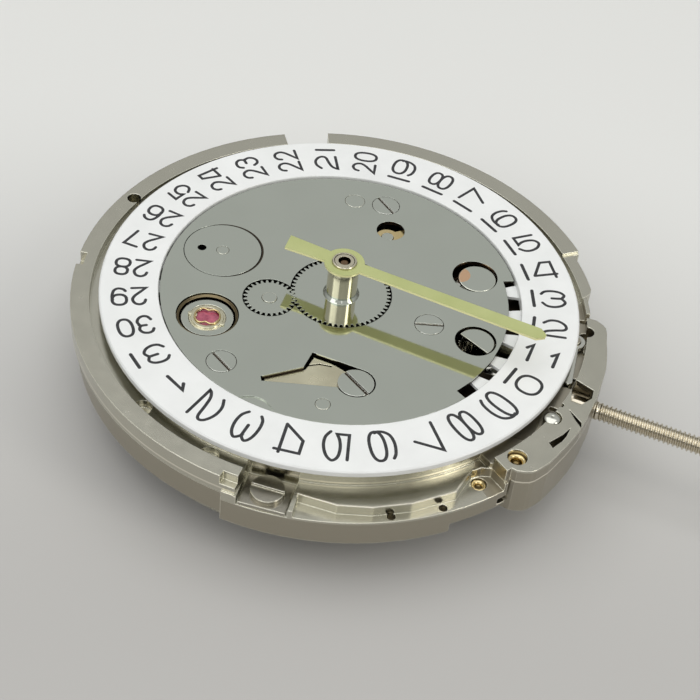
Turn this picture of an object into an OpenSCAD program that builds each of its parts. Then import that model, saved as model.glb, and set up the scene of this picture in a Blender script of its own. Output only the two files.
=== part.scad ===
// Automatic watch movement with date ring, dial side up. Every size is in millimetres.
// X runs along the winding stem, Y towards twelve, Z out of the dial side.
// Z zero is the face on which the dial spacer sits.

/* [Main plate] */
// Radius of the rim that fills the case
rim_r = 13.0; // [12.8:0.05:13.3]
// Height of the plate from dial seat to its back
plate_h = 2.7; // [2.6:0.05:2.9]
// Depth of the floor under the calendar works
floor_depth = 0.6; // [0.55:0.01:0.7]
// Thickness of the web between the two sides
web_t = 0.8; // [0.75:0.01:0.85]
// Reach of the land that carries the stem
tab_r = 13.35; // [13.2:0.05:13.5]
// Width of the flat rim
rim_w = 0.9; // [0.7:0.05:1.1]

/* [Date ring] */
// Outer radius of the date ring
ring_r = 11.65; // [11.5:0.05:11.75]
// Inner radius of the printed face
ring_in_r = 8.83; // [8.7:0.01:8.95]
// Thickness of the printed face
ring_t = 0.35; // [0.3:0.01:0.38]
// Height of the ring above the dial seat
ring_rise = 0.4; // [0.36:0.01:0.5]
// Depth of each tooth inside the ring
ring_tooth = 0.75; // [0.6:0.01:0.8]

/* [Calendar plate] */
// Thickness of the calendar plate
cal_t = 0.17; // [0.14:0.01:0.2]
// Height of its face above the dial seat
cal_rise = 0.28; // [0.27:0.01:0.32]
// Radius of the round date driving disc
disc_r = 1.9; // [1.8:0.05:1.95]
// Radius of the small screw heads
cal_screw_r = 0.69; // [0.6:0.01:0.72]

/* [Hour wheel and hand] */
// Height of the tube above the dial seat
tube_rise = 2.35; // [2.2:0.05:2.6]
// Radius of the tube under the hand
tube_r = 0.75; // [0.7:0.01:0.8]
// Radius of the hand seat at the top of the tube
seat_r = 0.6; // [0.58:0.01:0.66]
// Length of the hand from centre to tip
hand_len = 10.27; // [9:0.05:11]
// Length of the tail of the hand
hand_tail = 3.07; // [2:0.05:4]
// Width of the hand at its tip
hand_w = 0.75; // [0.6:0.01:0.9]
// Thickness of the hand
hand_t = 0.13; // [0.1:0.01:0.16]

/* [Stem] */
// Depth of the stem axis under the dial seat
stem_drop = 1.7; // [1.65:0.01:1.75]
// Radius of the threaded end
stem_r = 0.45; // [0.4:0.01:0.5]
// Length that stands out of the land
stem_out = 10; // [6:0.5:14]
// Travel of the stem from winding to hand setting
stem_pull = 0.9; // [0.8:0.05:0.9]

/* [Barrel] */
// Height of the barrel drum
barrel_h = 1.4; // [1.3:0.01:1.42]
// Wall of the barrel drum
barrel_wall = 0.3; // [0.2:0.02:0.4]
// Thickness of the mainspring ribbon
main_ribbon = 0.12; // [0.08:0.01:0.14]

/* [Train and balance] */
// Thickness of the train wheels
wheel_t = 0.12; // [0.1:0.01:0.13]
// Radius of the balance rim
balance_r = 4.6; // [4.2:0.05:4.7]
// Width of the balance rim
balance_w = 0.55; // [0.4:0.05:0.7]
// Thickness of the balance rim
balance_t = 0.25; // [0.2:0.01:0.27]
// Outer radius of the hairspring
hair_r = 3.0; // [2.6:0.05:3.1]

/* [Bridges and rotor] */
// Thickness of the train bridge
bridge_t = 0.4; // [0.35:0.01:0.42]
// Thickness of the automatic bridge
auto_t = 0.22; // [0.18:0.01:0.24]
// Outer radius of the rotor weight
rotor_r = 12.4; // [11.5:0.1:12.6]
// Width of the heavy rotor rim
rotor_w = 2.5; // [1.8:0.1:2.7]
// Thickness of the rotor plate
rotor_t = 0.18; // [0.15:0.01:0.25]
// Thickness of the heavy rotor rim
rotor_rim_t = 0.6; // [0.4:0.01:0.61]

/* [Hidden] */
$fn = 72;
fine = 36;

// Clearance of a running fit and of free air
fit = 0.02;
air = 0.08;
// Clearance of the teeth of a flush wheel in its hole
tip_gap = 0.05;
eps = 0.01;

// Levels of the dial side
z_floor = -floor_depth;
z_web = z_floor - web_t;
z_cal = cal_rise - cal_t;
z_tooth_top = z_cal - 0.04;
z_tooth_low = z_tooth_top - 0.17;
z_ring_low = ring_rise - ring_t;
z_motion_top = cal_rise - 0.02;
z_motion_low = z_cal - 0.21;
z_pinion_top = z_cal - 0.05;
z_low_wheel = z_floor + 0.05;
low_wheel_t = 0.15;

// Levels of the back side
z_barrel = z_web - 0.1;
z_barrel_low = z_barrel - barrel_h;
z_centre = z_web - 1.7;
z_third = z_centre - 0.26;
z_fourth = z_third - 0.26;
z_bridge = z_fourth - air;
z_bridge_low = z_bridge - bridge_t;
z_escape = z_web - 1.35;
z_balance = z_bridge - balance_t;
z_ratchet = z_bridge_low - 0.04;
ratchet_t = 0.18;
z_auto = z_bridge_low - 0.42;
z_auto_low = z_auto - auto_t;
z_rotor_gear = z_auto_low - 0.06;
rotor_gear_t = 0.18;
z_rotor = z_rotor_gear - rotor_gear_t - 0.04;
z_back = z_rotor - rotor_t;

// Tooth counts and modules
hour_n = 56;
idler_n = 28;
hour_m = 0.084;
idler_low_n = 15;
date_n = 60;
cannon_n = 14;
minute_n = 42;
minute_low_n = 14;
barrel_n = 84;
centre_low_n = 12;
barrel_m = 0.125;
centre_n = 75;
third_low_n = 10;
centre_m = 0.08;
third_n = 80;
fourth_low_n = 10;
fourth_n = 84;
escape_low_n = 7;
fourth_m = 0.075;
escape_n = 15;
ratchet_n = 88;
crown_n = 40;
crown_idler_n = 36;
wind_m = 0.1;
rotor_n = 30;
reverser_n = 24;
rotor_m = 0.12;
reverser_low_n = 14;
reduction_n = 38;
reduction_low_n = 12;
setting_n = 22;
setting_b_n = 20;
date_count = 31;

// Two circles meet: the point at distance a from p and b from q, on side s
function span(p, q) = norm(q - p);
function bear(p, q) = atan2(q[1] - p[1], q[0] - p[0]);
function swing(a, b, d) = acos((a * a + d * d - b * b) / (2 * a * d));
function meet(p, q, a, b, s) = p + a * dirn(bear(p, q) + s * swing(a, b, span(p, q)));
function dirn(a) = [cos(a), sin(a)];
function gear_gap(na, nb, m) = (na + nb) * m / 2;

// Places on the dial side, read from the photograph
o = [0, 0];
balance_at = [-5.09, -4.36];
disc_at = [-6.40, 0.13];
idler_at = gear_gap(hour_n, idler_n, hour_m) * dirn(213.4);
date_m = 2 * span(idler_at, disc_at) / (idler_low_n + date_n);
minute_gap = gear_gap(hour_n, minute_low_n, hour_m);
minute_m = 2 * minute_gap / (cannon_n + minute_n);
minute_at = minute_gap * dirn(62);
set_a_at = [5.9, 1.35];
set_b_at = meet(set_a_at, minute_at, gear_gap(setting_n, setting_b_n, minute_m),
    gear_gap(setting_b_n, minute_n, minute_m), -1);
cal_screws = [[4.64, -0.16], [-3.16, -6.90], [-0.44, 7.18]];
cal_slots = [21, -30, -35];
cal_pins = [[-2.00, 6.76], [2.09, -7.29]];
cal_pin_rs = [0.5, 0.34];
spring_screw_at = [2.94, -5.36];
jumper_at = [0.47, 5.12];
windows = [[0.50, 5.43, 0.72], [5.50, 4.14, 1.13], [7.02, -0.20, 1.0]];
dial_feet = [[11.67, 3.19], [-12.25, 1.95]];

// Places on the back side
barrel_gap = gear_gap(barrel_n, centre_low_n, barrel_m);
barrel_at = barrel_gap * dirn(85);
train_gap = gear_gap(centre_n, third_low_n, centre_m);
third_at = train_gap * dirn(152);
third_m = 2 * train_gap / (third_n + fourth_low_n);
escape_gap = gear_gap(fourth_n, escape_low_n, fourth_m);
pallet_gap = 2.0;
lever_len = 3.2;
escape_at = meet(o, balance_at, escape_gap, pallet_gap + lever_len, 1);
pallet_dir = bear(escape_at, balance_at);
pallet_at = escape_at + pallet_gap * dirn(pallet_dir);
escape_r = pallet_gap * cos(30);
cock_foot = pallet_at + 2.4 * dirn(pallet_dir + 90);
crown_at = [8.5, 0];
crown_idler_at = meet(crown_at, barrel_at, gear_gap(crown_n, crown_idler_n, wind_m),
    gear_gap(crown_idler_n, ratchet_n, wind_m), -1);
reduction_at = barrel_at + gear_gap(ratchet_n, reduction_low_n, wind_m) * dirn(212);
low_gap = gear_gap(reduction_n, reverser_low_n, wind_m);
rev_a_at = meet(reduction_at, o, low_gap, gear_gap(rotor_n, reverser_n, rotor_m), -1);
rev_b_at = meet(reduction_at, rev_a_at, low_gap, reverser_n * rotor_m, -1);
click_at = [5.9, 8.0];
auto_posts = [[-7.4, 4.4], [2.6, -2.5]];

// Phase of gear b so that it meshes with gear a in direction t
function mesh(t, pa, na, nb) = t + 180 - (0.5 - (t - pa) * na / 360) * 360 / nb;

// Gear outline: the points of one tooth, then all teeth
tooth = [[-0.30, -1.2], [-0.23, 0], [-0.10, 1], [0.10, 1], [0.23, 0], [0.30, -1.2]];
function gear_points(n, m) = [for (i = [0:n - 1], p = tooth)
    (n * m / 2 + p[1] * m) * dirn((i + p[0]) * 360 / n)];

module gear(n, m, t, phase) {
    rotate([0, 0, phase])
        linear_extrude(height = t)
            polygon(gear_points(n, m));
}

module at(p, z) {
    translate([p[0], p[1], z])
        children();
}

// A disc between two heights
module disc(p, r, z0, z1, f = fine) {
    at(p, z0)
        cylinder(r = r, h = z1 - z0, $fn = f);
}

// A flat ring between two heights
module band(p, r0, r1, z0, z1) {
    difference() {
        disc(p, r1, z0, z1, $fn);
        disc(p, r0, z0 - eps, z1 + eps, $fn);
    }
}

// Part of a ring between two angles
module sector(r0, r1, a0, a1, z0, z1) {
    rotate([0, 0, a0])
        rotate_extrude(angle = a1 - a0)
            translate([r0, z0])
                square([r1 - r0, z1 - z0]);
}

// A straight bar from p to q, and the same with round ends
module bar(p, q, r, z0, z1) {
    at(p, z0)
        rotate([0, 0, bear(p, q)])
            translate([0, eps - r, 0])
                cube([span(p, q), 2 * r - 2 * eps, z1 - z0]);
}

module link(p, q, r, z0, z1) {
    disc(p, r, z0, z1);
    disc(q, r, z0, z1);
    bar(p, q, r, z0, z1);
}

// Openings between the arms of a wheel
module arms(r0, r1, w, n, z0, z1) {
    difference() {
        band(o, r0, r1, z0, z1);
        for (i = [0:n - 1])
            rotate([0, 0, i * 360 / n])
                translate([0, -w / 2, z0 - eps])
                    cube([r1 + 1, w, z1 - z0 + 2 * eps]);
    }
}

// A slotted head with its shank, facing up
module screw(p, r, top, head, shank_r, low, slot) {
    difference() {
        union() {
            disc(p, r, top - head, top);
            disc(p, shank_r, low, top - head + eps);
        }
        at(p, top - head / 2)
            rotate([0, 0, slot])
                translate([-r - eps, -r / 10, 0])
                    cube([2 * r + 2 * eps, r / 5, head]);
    }
}

// The same screw facing the back
module back_screw(p, r, top, head, shank_r, high, slot) {
    difference() {
        union() {
            disc(p, r, top, top + head);
            disc(p, shank_r, top + head - eps, high);
        }
        at(p, top - head / 2)
            rotate([0, 0, slot])
                translate([-r - eps, -r / 10, 0])
                    cube([2 * r + 2 * eps, r / 5, head]);
    }
}

// A flat spiral of one ribbon, from radius r0 to r1
function spiral_edge(r0, r1, turns, w, steps) = [for (i = [0:steps])
    (r0 + (r1 - r0) * i / steps + w) * dirn(360 * turns * i / steps)];
function back_to_front(v) = [for (i = [len(v) - 1:-1:0]) v[i]];
module ribbon(r0, r1, turns, w, z0, z1, steps) {
    translate([0, 0, z0])
        linear_extrude(height = z1 - z0)
            polygon(concat(spiral_edge(r0, r1, turns, -w / 2, steps),
                back_to_front(spiral_edge(r0, r1, turns, w / 2, steps))));
}

// Sizes worked out from the ones above
groove_r = rim_r - rim_w;
body_r = rim_r - 0.25;
near_r = rim_r + 0.1;
cavity_r = rim_r - 1.45;
track_r0 = ring_in_r + 0.67;
track_r1 = ring_r - 0.35;
track_z = z_ring_low - fit;
step_r = track_r0 - 0.06;
tooth_r = ring_in_r - ring_tooth;
tooth_step = 360 / date_count;
cal_r = ring_in_r - air;
post_r = 0.45;
idler_post_r = 0.36;
disc_post_r = 0.3;
jumper_post_r = 0.3;
small_post_r = 0.25;
lever_post_r = 0.25;
lever_at = [11.3, 2.6];
groove_x = 11.75;
pin_side = -0.15;
yoke_at = [8.5, -3.9];
z_minute = z_floor + 0.08;
z_lever = z_floor + 0.1;
lever_t = 0.22;
z_set_low = z_web + 0.2;
stem_z = -stem_drop;
shank_r = stem_r + 0.1;
seat_stem_r = 0.42;
pilot_r = 0.28;
neck_r = 0.3;
square_w = 0.58;
stem_end = tab_r + stem_out;
clutch_r = 0.95;
clutch_low = 7.6;
clutch_high = 9.85;
clutch_groove = 8.78;
pinion_x = 9.9;
pinion_len = 1.3;
contrate_n = 28;
pinion_n = 14;
contrate_m = 0.13;
z_crown = stem_z - pinion_n * contrate_m / 2 - 0.21;
crown_t = 0.2;
drum_r = barrel_n * barrel_m / 2 - 0.3;
arbor_r = 0.5;
crown_arbor_r = 0.4;
jewel_r = 0.45;
jewel_t = 0.25;
pivot_r = 0.08;
centre_r = 0.28;
centre_bore = 0.2;
fourth_r = centre_bore - 0.03;
cannon_r = seat_r - 0.13;
cannon_bore = centre_r + fit;
tube_bore = seat_r - 0.1;
shock_r = 0.88;
shock_t = 0.41;
staff_r = 0.25;
shock_boss_r = 1.25;
hand_z = tube_rise - 0.1 - hand_t;
hand_turn = -2.4;
clamp_a = -82.7;
clamp_w = 2.15;
clamp_at = (track_r1 + 0.8) * dirn(clamp_a);
clamp_screw_r = 0.78;
bridge_screw_r = 0.8;
shank_small = 0.3;
z_cock = z_bridge_low - 0.05;
cock_t = 0.25;
z_cock_low = z_cock - cock_t;
index_t = 0.12;
z_index = z_cock_low - 0.01;
roller_r = 0.6;
pin_orbit = 0.5;
pin_r = 0.07;
z_fork = z_escape;
z_roller = z_fork - 0.22;
z_pcock = z_fork - 0.6;
pcock_t = 0.25;
post_bore = 0.25;
rev_arbor_r = 0.25;
z_low_gear = z_auto + 0.04;
low_gear_t = 0.12;
rotor_post_r = 0.5;
rotor_in = rotor_r - rotor_w;
hair_turns = 5;
hair_w = 0.06;
hair_in = 0.5;
main_turns = 5.5;
main_in = 1.32;
bridge_r = rim_r - 1.2;
bridge_posts = [for (v = [[1.45, 131.1], [1.37, 39.9], [1.56, -51.3], [1.58, -93.4]])
    (bridge_r - v[0]) * dirn(v[1])];
balance_foot = (bridge_r - 2.05) * dirn(180.6);

// Edge of the land that carries the stem: angle, and how far it stays within its reach
land_edge = [[-33.5, 1.9], [-32.4, 0.7], [-31.2, 0.04], [-29.3, -0.3], [-28, -0.38], [-24.7, -0.41],
    [-20.9, -0.32], [-14.1, -0.22], [-6.8, -0.04], [0.8, 0.1], [4.7, 0.1], [12.8, 0.29],
    [16.8, 0.3], [18.5, 0.45], [19.7, 0.77], [21, 1.6]];
// Crest of the near side: how far in from the rim, and angle
near_lip = [for (v = [[0.88, -76.2], [0.47, -68], [0.36, -61], [0.38, -53], [0.48, -43.2],
    [0.98, -39.9], [1.27, -37.2], [1.2, -34.8], [0.95, -33]]) (rim_r - v[0]) * dirn(v[1])];
lip_w = 0.06;
near_holes = [[6.93, -10.76], [8.84, -9.29]];

// Phases that put every pair of gears in mesh at rest
ph_idler = mesh(213.4, 0, hour_n, idler_n);
ph_date = mesh(bear(idler_at, disc_at), 0, idler_low_n, date_n);
ph_minute_low = mesh(62, 0, hour_n, minute_low_n);
ph_minute = mesh(62, 0, cannon_n, minute_n);
ph_set_b = mesh(bear(minute_at, set_b_at), ph_minute, minute_n, setting_b_n);
ph_set_a = mesh(bear(set_b_at, set_a_at), ph_set_b, setting_b_n, setting_n);
ph_centre_low = mesh(265, 0, barrel_n, centre_low_n);
ph_third_low = mesh(152, 0, centre_n, third_low_n);
ph_fourth_low = mesh(332, 0, third_n, fourth_low_n);
ph_escape_low = mesh(bear(o, escape_at), 0, fourth_n, escape_low_n);
ph_crown_idler = mesh(bear(barrel_at, crown_idler_at), 0, ratchet_n, crown_idler_n);
ph_crown = mesh(bear(crown_idler_at, crown_at), ph_crown_idler, crown_idler_n, crown_n);
ph_reduction_low = mesh(212, 0, ratchet_n, reduction_low_n);
ph_low_a = mesh(bear(reduction_at, rev_a_at), 0, reduction_n, reverser_low_n);
ph_low_b = mesh(bear(reduction_at, rev_b_at), 0, reduction_n, reverser_low_n);
ph_rev_a = mesh(bear(o, rev_a_at), 0, rotor_n, reverser_n);
ph_rev_b = mesh(bear(rev_a_at, rev_b_at), ph_rev_a, reverser_n, reverser_n);

nickel = [0.72, 0.71, 0.65];
steel = [0.66, 0.68, 0.64];
gold = [0.80, 0.68, 0.40];
ruby = [0.70, 0.20, 0.35];
white = [0.93, 0.93, 0.92];

// A round bar along the stem
module bar_x(x0, x1, r, f = fine) {
    translate([x0, 0, stem_z])
        rotate([0, 90, 0])
            cylinder(r = r, h = x1 - x0, $fn = f);
}

// Rim, lands and shelf before anything is cut
module plate_blank() {
    disc(o, rim_r, -1.0, 0, 120);
    disc(o, body_r, -plate_h, -1.0 + eps, 120);
    disc(o, cavity_r + 0.3, z_bridge, -1, 120);
    translate([0, 0, -plate_h])
        linear_extrude(height = plate_h)
            polygon(concat([9 * dirn(-33.5)],
                [for (a = [-33.5:1.1:20.9]) (tab_r - lookup(a, land_edge)) * dirn(a)],
                [9 * dirn(21)]));
    sector(9, near_r, -91, -45, -plate_h, -0.85);
    sector(9, near_r, -46, -32.2, -plate_h + 0.5, -0.85);
    band(o, track_r0 - 0.1, track_r1 + 0.1, -0.5, track_z);
}

module plate_pockets() {
    // Track of the date ring and the floor of the calendar works
    band(o, track_r1, groove_r, -0.45, 1);
    disc(o, track_r0, z_floor, 1, 120);
    // Back cavity
    disc(o, cavity_r, z_bridge - 1, z_web, 120);
    // Near side, where the rim is low
    sector(track_r1 - 0.02, rim_r + 1, -88.3, -33.3, -0.9, 1);
    sector(rim_r - 0.35, rim_r + 1, -91.5, -88, -0.5, 1);
    translate([0, 0, -1.3])
        linear_extrude(height = 2)
            polygon(concat(near_lip, [for (a = [-33:-8.8:-77.8]) (rim_r + 1.5) * dirn(a)]));
    // Flute and slot at the near end of the land
    disc(13.42 * dirn(-32.6), 0.33, -2, 1);
    sector(12.3, rim_r + 2, -34.3, -32.1, -2.08, -1.7);
    // Gap between the two lands and the notch of the rim
    sector(rim_r - 0.7, rim_r + 1, 21, 28, -plate_h - 1, 1);
    sector(groove_r - 0.02, rim_r + 1, 27, 42.5, -0.12, 1);
    sector(rim_r - 0.3, rim_r + 2, 27.5, 42, -1.2, 1);
    translate([0, 0, -1.25])
        linear_extrude(height = 2)
            polygon([for (v = [[1, 27.2], [0.65, 28], [0.4, 29], [0.2, 31.5], [-1, 31.5], [-1, 27.2]])
                (rim_r - v[0]) * dirn(v[1])]);
    translate([0, 0, -1.45])
        linear_extrude(height = 3)
            polygon([for (v = [[-0.2, 16], [0.1, 18.1], [0.4, 19.4], [0.8, 20], [1.25, 20.4],
                [1.25, 21.4], [-1.5, 21.4], [-1.5, 16]]) (rim_r - v[0]) * dirn(v[1])]);
    sector(rim_r - 1, rim_r + 1, 115.4, 125.9, -0.95, 1);
    sector(rim_r - 0.35, rim_r + 1, 193, 197, -0.6, 1);
    // Date driving wheel
    disc(disc_at, date_n * date_m / 2 + 0.2, z_floor, 1);
    // Winding and setting works
    translate([7.2, -4.6, z_floor])
        cube([4.05, 8.2, 2]);
    disc(lever_at, 0.55, z_floor, -0.15);
    link(lever_at, [groove_x, pin_side], 0.29, z_floor, -0.15);
    link(lever_at, [groove_x + stem_pull, -pin_side], 0.3, z_floor, -0.15);
    at(lever_at, 0)
        sector(0.4, 2.95, -81, -61, z_floor, -0.15);
    translate([groove_x - 0.3, -0.45, stem_z + 0.25])
        cube([stem_pull + 0.6, 0.9, 1.15]);
    translate([0, 0, stem_z + 0.2])
        linear_extrude(height = 3)
            polygon([[12.12, -0.2], [13.05, -0.5], [13.12, -1.05], [12.76, -1.68],
                [12.28, -1.64], [12.08, -0.85]]);
    link([11.55, -2.1], [11.93, -2.1], 0.13, -0.9, 1);
    translate([6.45, -1.12, z_web - 1])
        cube([4.85, 2.24, 3]);
    disc(set_a_at, gear_gap(setting_n, 0, minute_m) + 0.2, z_set_low - 0.05, 0);
}

// Everything that stands on the plate
module plate_stands() {
    for (p = cal_screws)
        disc(p, post_r, z_floor - eps, z_cal);
    for (i = [0:1])
        disc(cal_pins[i], cal_pin_rs[i], z_floor - eps, cal_rise);
    disc(balance_at, shock_boss_r, z_floor - eps, z_cal - 0.05);
    disc(idler_at, idler_post_r, z_floor - eps, z_motion_top + 0.03);
    disc(disc_at, disc_post_r, z_floor - eps, cal_rise);
    disc(jumper_at, jumper_post_r, z_floor - eps, z_cal);
    disc(minute_at, small_post_r, z_floor - eps, z_pinion_top);
    disc(set_b_at, disc_post_r, z_floor - eps, z_minute + low_wheel_t + 0.1);
    disc(set_a_at, disc_post_r, z_set_low - 0.1, z_minute + low_wheel_t + 0.1);
    disc(lever_at, lever_post_r, z_floor - eps, z_lever + lever_t + 0.1);
    disc(yoke_at, lever_post_r, z_floor - eps, z_lever + lever_t + 0.1);
    disc(spring_screw_at, post_r, z_floor - eps, z_cal - 0.2);
    for (p = bridge_posts)
        disc(p, 1, z_bridge, z_web + eps);
    // Bearing of the stem's inner end
    translate([5.5, -0.6, stem_z - 0.5])
        cube([0.9, 1.2, stem_drop + z_web + 0.5 + eps]);
    // Seat of the casing clamp
    sector(track_r1 - 0.6, near_r - 0.1, -90.2, -73, -plate_h + 0.05, -1.36);
    // Raised crest of the near side
    for (p = near_lip)
        disc(p, lip_w, -1.35, -0.75);
    for (i = [1:len(near_lip) - 1])
        bar(near_lip[i - 1], near_lip[i], lip_w, -1.35, -0.75);
}

module plate_bores() {
    for (p = cal_screws)
        disc(p, shank_small, -0.4, 1);
    for (p = bridge_posts)
        disc(p, shank_small, z_bridge - 1, z_bridge + 0.9);
    disc(spring_screw_at, shank_small, -0.45, 1);
    disc(balance_at, shock_r + fit, z_cal - 0.05 - shock_t, 1);
    disc(balance_at, staff_r + 0.3, z_web - 1, 1);
    for (p = [third_at, escape_at, pallet_at]) {
        disc(p, jewel_r, z_web - 1, z_web + jewel_t);
        disc(p, 0.2, z_web - 1, 1);
    }
    disc(o, centre_r + fit, z_web - 1, 1);
    disc(barrel_at, arbor_r + fit, z_web - 1, z_web + 0.6);
    // Stem
    bar_x(5, 7, pilot_r + fit);
    bar_x(11.2, tab_r + 1, shank_r + 0.03);
    // Dial feet, dimple and screw holes of the land
    for (p = dial_feet)
        disc(p, 0.35, -1.2, 1);
    disc([11.79, -3.05], 0.45, -0.3, 1);
    disc([11.08, -6.12], 0.46, -0.95, 1);
    disc([9.82, -7.26], 0.37, -1.7, 1);
    for (a = [243, 263])
        disc((track_r1 + 0.5) * dirn(a), 0.45, -0.9, -0.4);
    for (p = near_holes)
        disc(p, 0.2, -1.9, -1.2);
    translate([0, 0, -0.8])
        linear_extrude(height = 2)
            polygon([[12.33, -2.2], [13.1, -2.76], [13.2, -3.1], [12.78, -2.72]]);
    translate([0, 0, -0.9])
        linear_extrude(height = 2)
            polygon([[12.1, -4.62], [12.36, -4.86], [12.62, -4.3], [12.72, -3.9],
                [12.74, -3.3], [12.55, -3.85]]);
    // Pocket of the casing clamp
    rotate([0, 0, clamp_a])
        translate([track_r1 - 0.2, -clamp_w / 2 - 0.1, -1.35])
            cube([2.2, clamp_w + 0.2, 2]);
    disc(clamp_at, shank_small, -2.4, -1.3);
}

module main_plate() {
    color(nickel)
        difference() {
            union() {
                difference() {
                    plate_blank();
                    plate_pockets();
                }
                plate_stands();
            }
            plate_bores();
        }
}

module calendar_plate() {
    hour_hole = hour_n * hour_m / 2 + hour_m + tip_gap;
    idler_hole = idler_n * hour_m / 2 + hour_m + tip_gap;
    color(steel)
        difference() {
            disc(o, cal_r, z_cal, cal_rise, 120);
            disc(o, hour_hole, -1, 1, 120);
            disc(idler_at, idler_hole, -1, 1);
            disc(disc_at, disc_r + 0.04, -1, 1, $fn);
            disc(balance_at, 1.5, -1, 1, $fn);
            for (w = windows)
                disc([w[0], w[1]], w[2], -1, 1);
            for (p = cal_screws) {
                disc(p, shank_small + 0.03, -1, 1);
                disc(p, cal_screw_r + 0.03, cal_rise - 0.1, 1);
            }
            for (i = [0:1])
                disc(cal_pins[i], cal_pin_rs[i] + fit, -1, 1);
            // Opening over the setting spring
            disc(spring_screw_at, 0.92, -1, 1);
            translate([0, 0, -1])
                linear_extrude(height = 3)
                    polygon([[0.38, -4.44], [2.9, -4.44], [2.9, -6.28], [2.3, -6.0],
                        [-1.0, -7.2], [-1.15, -6.95], [0.38, -5.5]]);
            // Edge cut back over the ring's teeth, and the shallow lens-shaped notch
            sector(cal_r - 0.55, ring_r, -27, 33, -1, 1);
            disc(9.35 * dirn(266), 1.1, cal_rise - 0.06, 1);
        }
}

module calendar_screws() {
    color(steel)
        for (i = [0:2])
            screw(cal_screws[i], cal_screw_r, cal_rise, 0.1, shank_small - fit, -0.35, cal_slots[i]);
}

module date_ring() {
    color(white)
        union() {
            rotate_extrude($fn = 120)
                polygon([[ring_in_r, z_tooth_low], [step_r, z_tooth_low], [step_r, z_ring_low],
                    [ring_r - 0.04, z_ring_low], [ring_r, z_ring_low + 0.04],
                    [ring_r, ring_rise - 0.07], [ring_r - 0.07, ring_rise],
                    [ring_in_r + 0.03, ring_rise], [ring_in_r, ring_rise - 0.03]]);
            for (i = [0:date_count - 1])
                rotate([0, 0, (i + 0.5) * tooth_step])
                    translate([0, 0, z_tooth_low])
                        linear_extrude(height = z_tooth_top - z_tooth_low)
                            polygon([[ring_in_r + 0.2, -0.5], [ring_in_r + 0.2, 0.5],
                                [tooth_r, 0.27], [tooth_r, -0.27]]);
        }
}

module date_jumper() {
    nose = (tooth_r + 0.07) * dirn(6 * tooth_step);
    tail = [-1.2, 4.2];
    color(gold)
        difference() {
            union() {
                disc(jumper_at, 0.6, z_tooth_low, z_tooth_top);
                link(jumper_at, nose - 0.55 * dirn(60), 0.28, z_tooth_low, z_tooth_top);
                link(nose - 0.55 * dirn(60), nose, 0.22, z_tooth_low, z_tooth_top);
                link(jumper_at, tail, 0.14, z_tooth_low, z_tooth_top);
            }
            disc(jumper_at, jumper_post_r + fit, -1, 1);
        }
}

module date_idler() {
    color(steel)
        at(idler_at, 0)
            difference() {
                union() {
                    translate([0, 0, z_motion_low])
                        gear(idler_n, hour_m, z_motion_top - z_motion_low, ph_idler);
                    disc(o, 0.6, z_low_wheel, z_motion_low + eps);
                    translate([0, 0, z_low_wheel])
                        gear(idler_low_n, date_m, low_wheel_t, 0);
                }
                disc(o, idler_post_r + fit, -2, 1);
            }
}

module date_driving_wheel() {
    color(steel)
        at(disc_at, 0)
            difference() {
                union() {
                    translate([0, 0, z_low_wheel])
                        gear(date_n, date_m, low_wheel_t, ph_date);
                    disc(o, 0.6, z_low_wheel, z_cal + 0.02);
                    disc(o, disc_r, z_cal + 0.01, cal_rise, $fn);
                }
                disc(o, disc_post_r + fit, -2, 1);
                disc([-1.0, -0.29], 0.22, z_cal - 0.1, 1);
                arms(1.2, date_n * date_m / 2 - 0.5, 0.5, 4, z_low_wheel - 1, z_low_wheel + low_wheel_t + 0.05);
            }
}

module date_finger() {
    color(gold)
        at(disc_at, 0)
            difference() {
                union() {
                    disc(o, 0.9, z_tooth_low, z_tooth_top);
                    link([0.7, 0], [2.1, 0], 0.13, z_tooth_low, z_tooth_top);
                }
                disc(o, 0.62, -1, 1);
            }
}

module hour_wheel() {
    color(steel)
        difference() {
            union() {
                translate([0, 0, z_motion_low])
                    gear(hour_n, hour_m, z_motion_top - z_motion_low, 0);
                rotate_extrude()
                    polygon([[0.1, z_motion_low], [1.35, z_motion_low], [1.35, z_motion_top - 0.02],
                        [tube_r + 0.14, z_motion_top], [tube_r + 0.1, z_motion_top + 0.05],
                        [tube_r, z_motion_top + 0.15], [tube_r, hand_z], [seat_r, hand_z], [seat_r, tube_rise - 0.03],
                        [seat_r - 0.03, tube_rise], [0.1, tube_rise]]);
            }
            disc(o, tube_bore, -1, 3);
        }
}

module hand() {
    color(gold)
        rotate([0, 0, hand_turn])
            difference() {
                union() {
                    disc(o, 0.975, hand_z, hand_z + hand_t);
                    translate([0, 0, hand_z])
                        linear_extrude(height = hand_t)
                            polygon([[0.3, -0.31], [hand_len - 0.35, -hand_w / 2], [hand_len, -0.1],
                                [hand_len, 0.1], [hand_len - 0.35, hand_w / 2], [0.3, 0.31],
                                [-0.3, 0.36], [-hand_tail, 0.47], [-hand_tail + 0.12, -0.47],
                                [-0.3, -0.36]]);
                }
                disc(o, seat_r + 0.005, 1, 3);
            }
}

module cannon_pinion() {
    color(steel)
        difference() {
            union() {
                disc(o, cannon_r, z_minute, tube_rise - 0.02);
                translate([0, 0, z_minute])
                    gear(cannon_n, minute_m, low_wheel_t + 0.05, 0);
            }
            disc(o, cannon_bore, -1, 3);
        }
}

module minute_wheel() {
    color(steel)
        at(minute_at, 0)
            difference() {
                union() {
                    translate([0, 0, z_minute])
                        gear(minute_n, minute_m, low_wheel_t, ph_minute);
                    translate([0, 0, z_minute + low_wheel_t - eps])
                        gear(minute_low_n, hour_m, z_pinion_top - z_minute - low_wheel_t, ph_minute_low);
                }
                disc(o, small_post_r + fit, -1, 1);
                arms(0.9, minute_n * minute_m / 2 - 0.4, 0.4, 5, z_minute - 1, z_minute + low_wheel_t + 0.01);
            }
}

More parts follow.
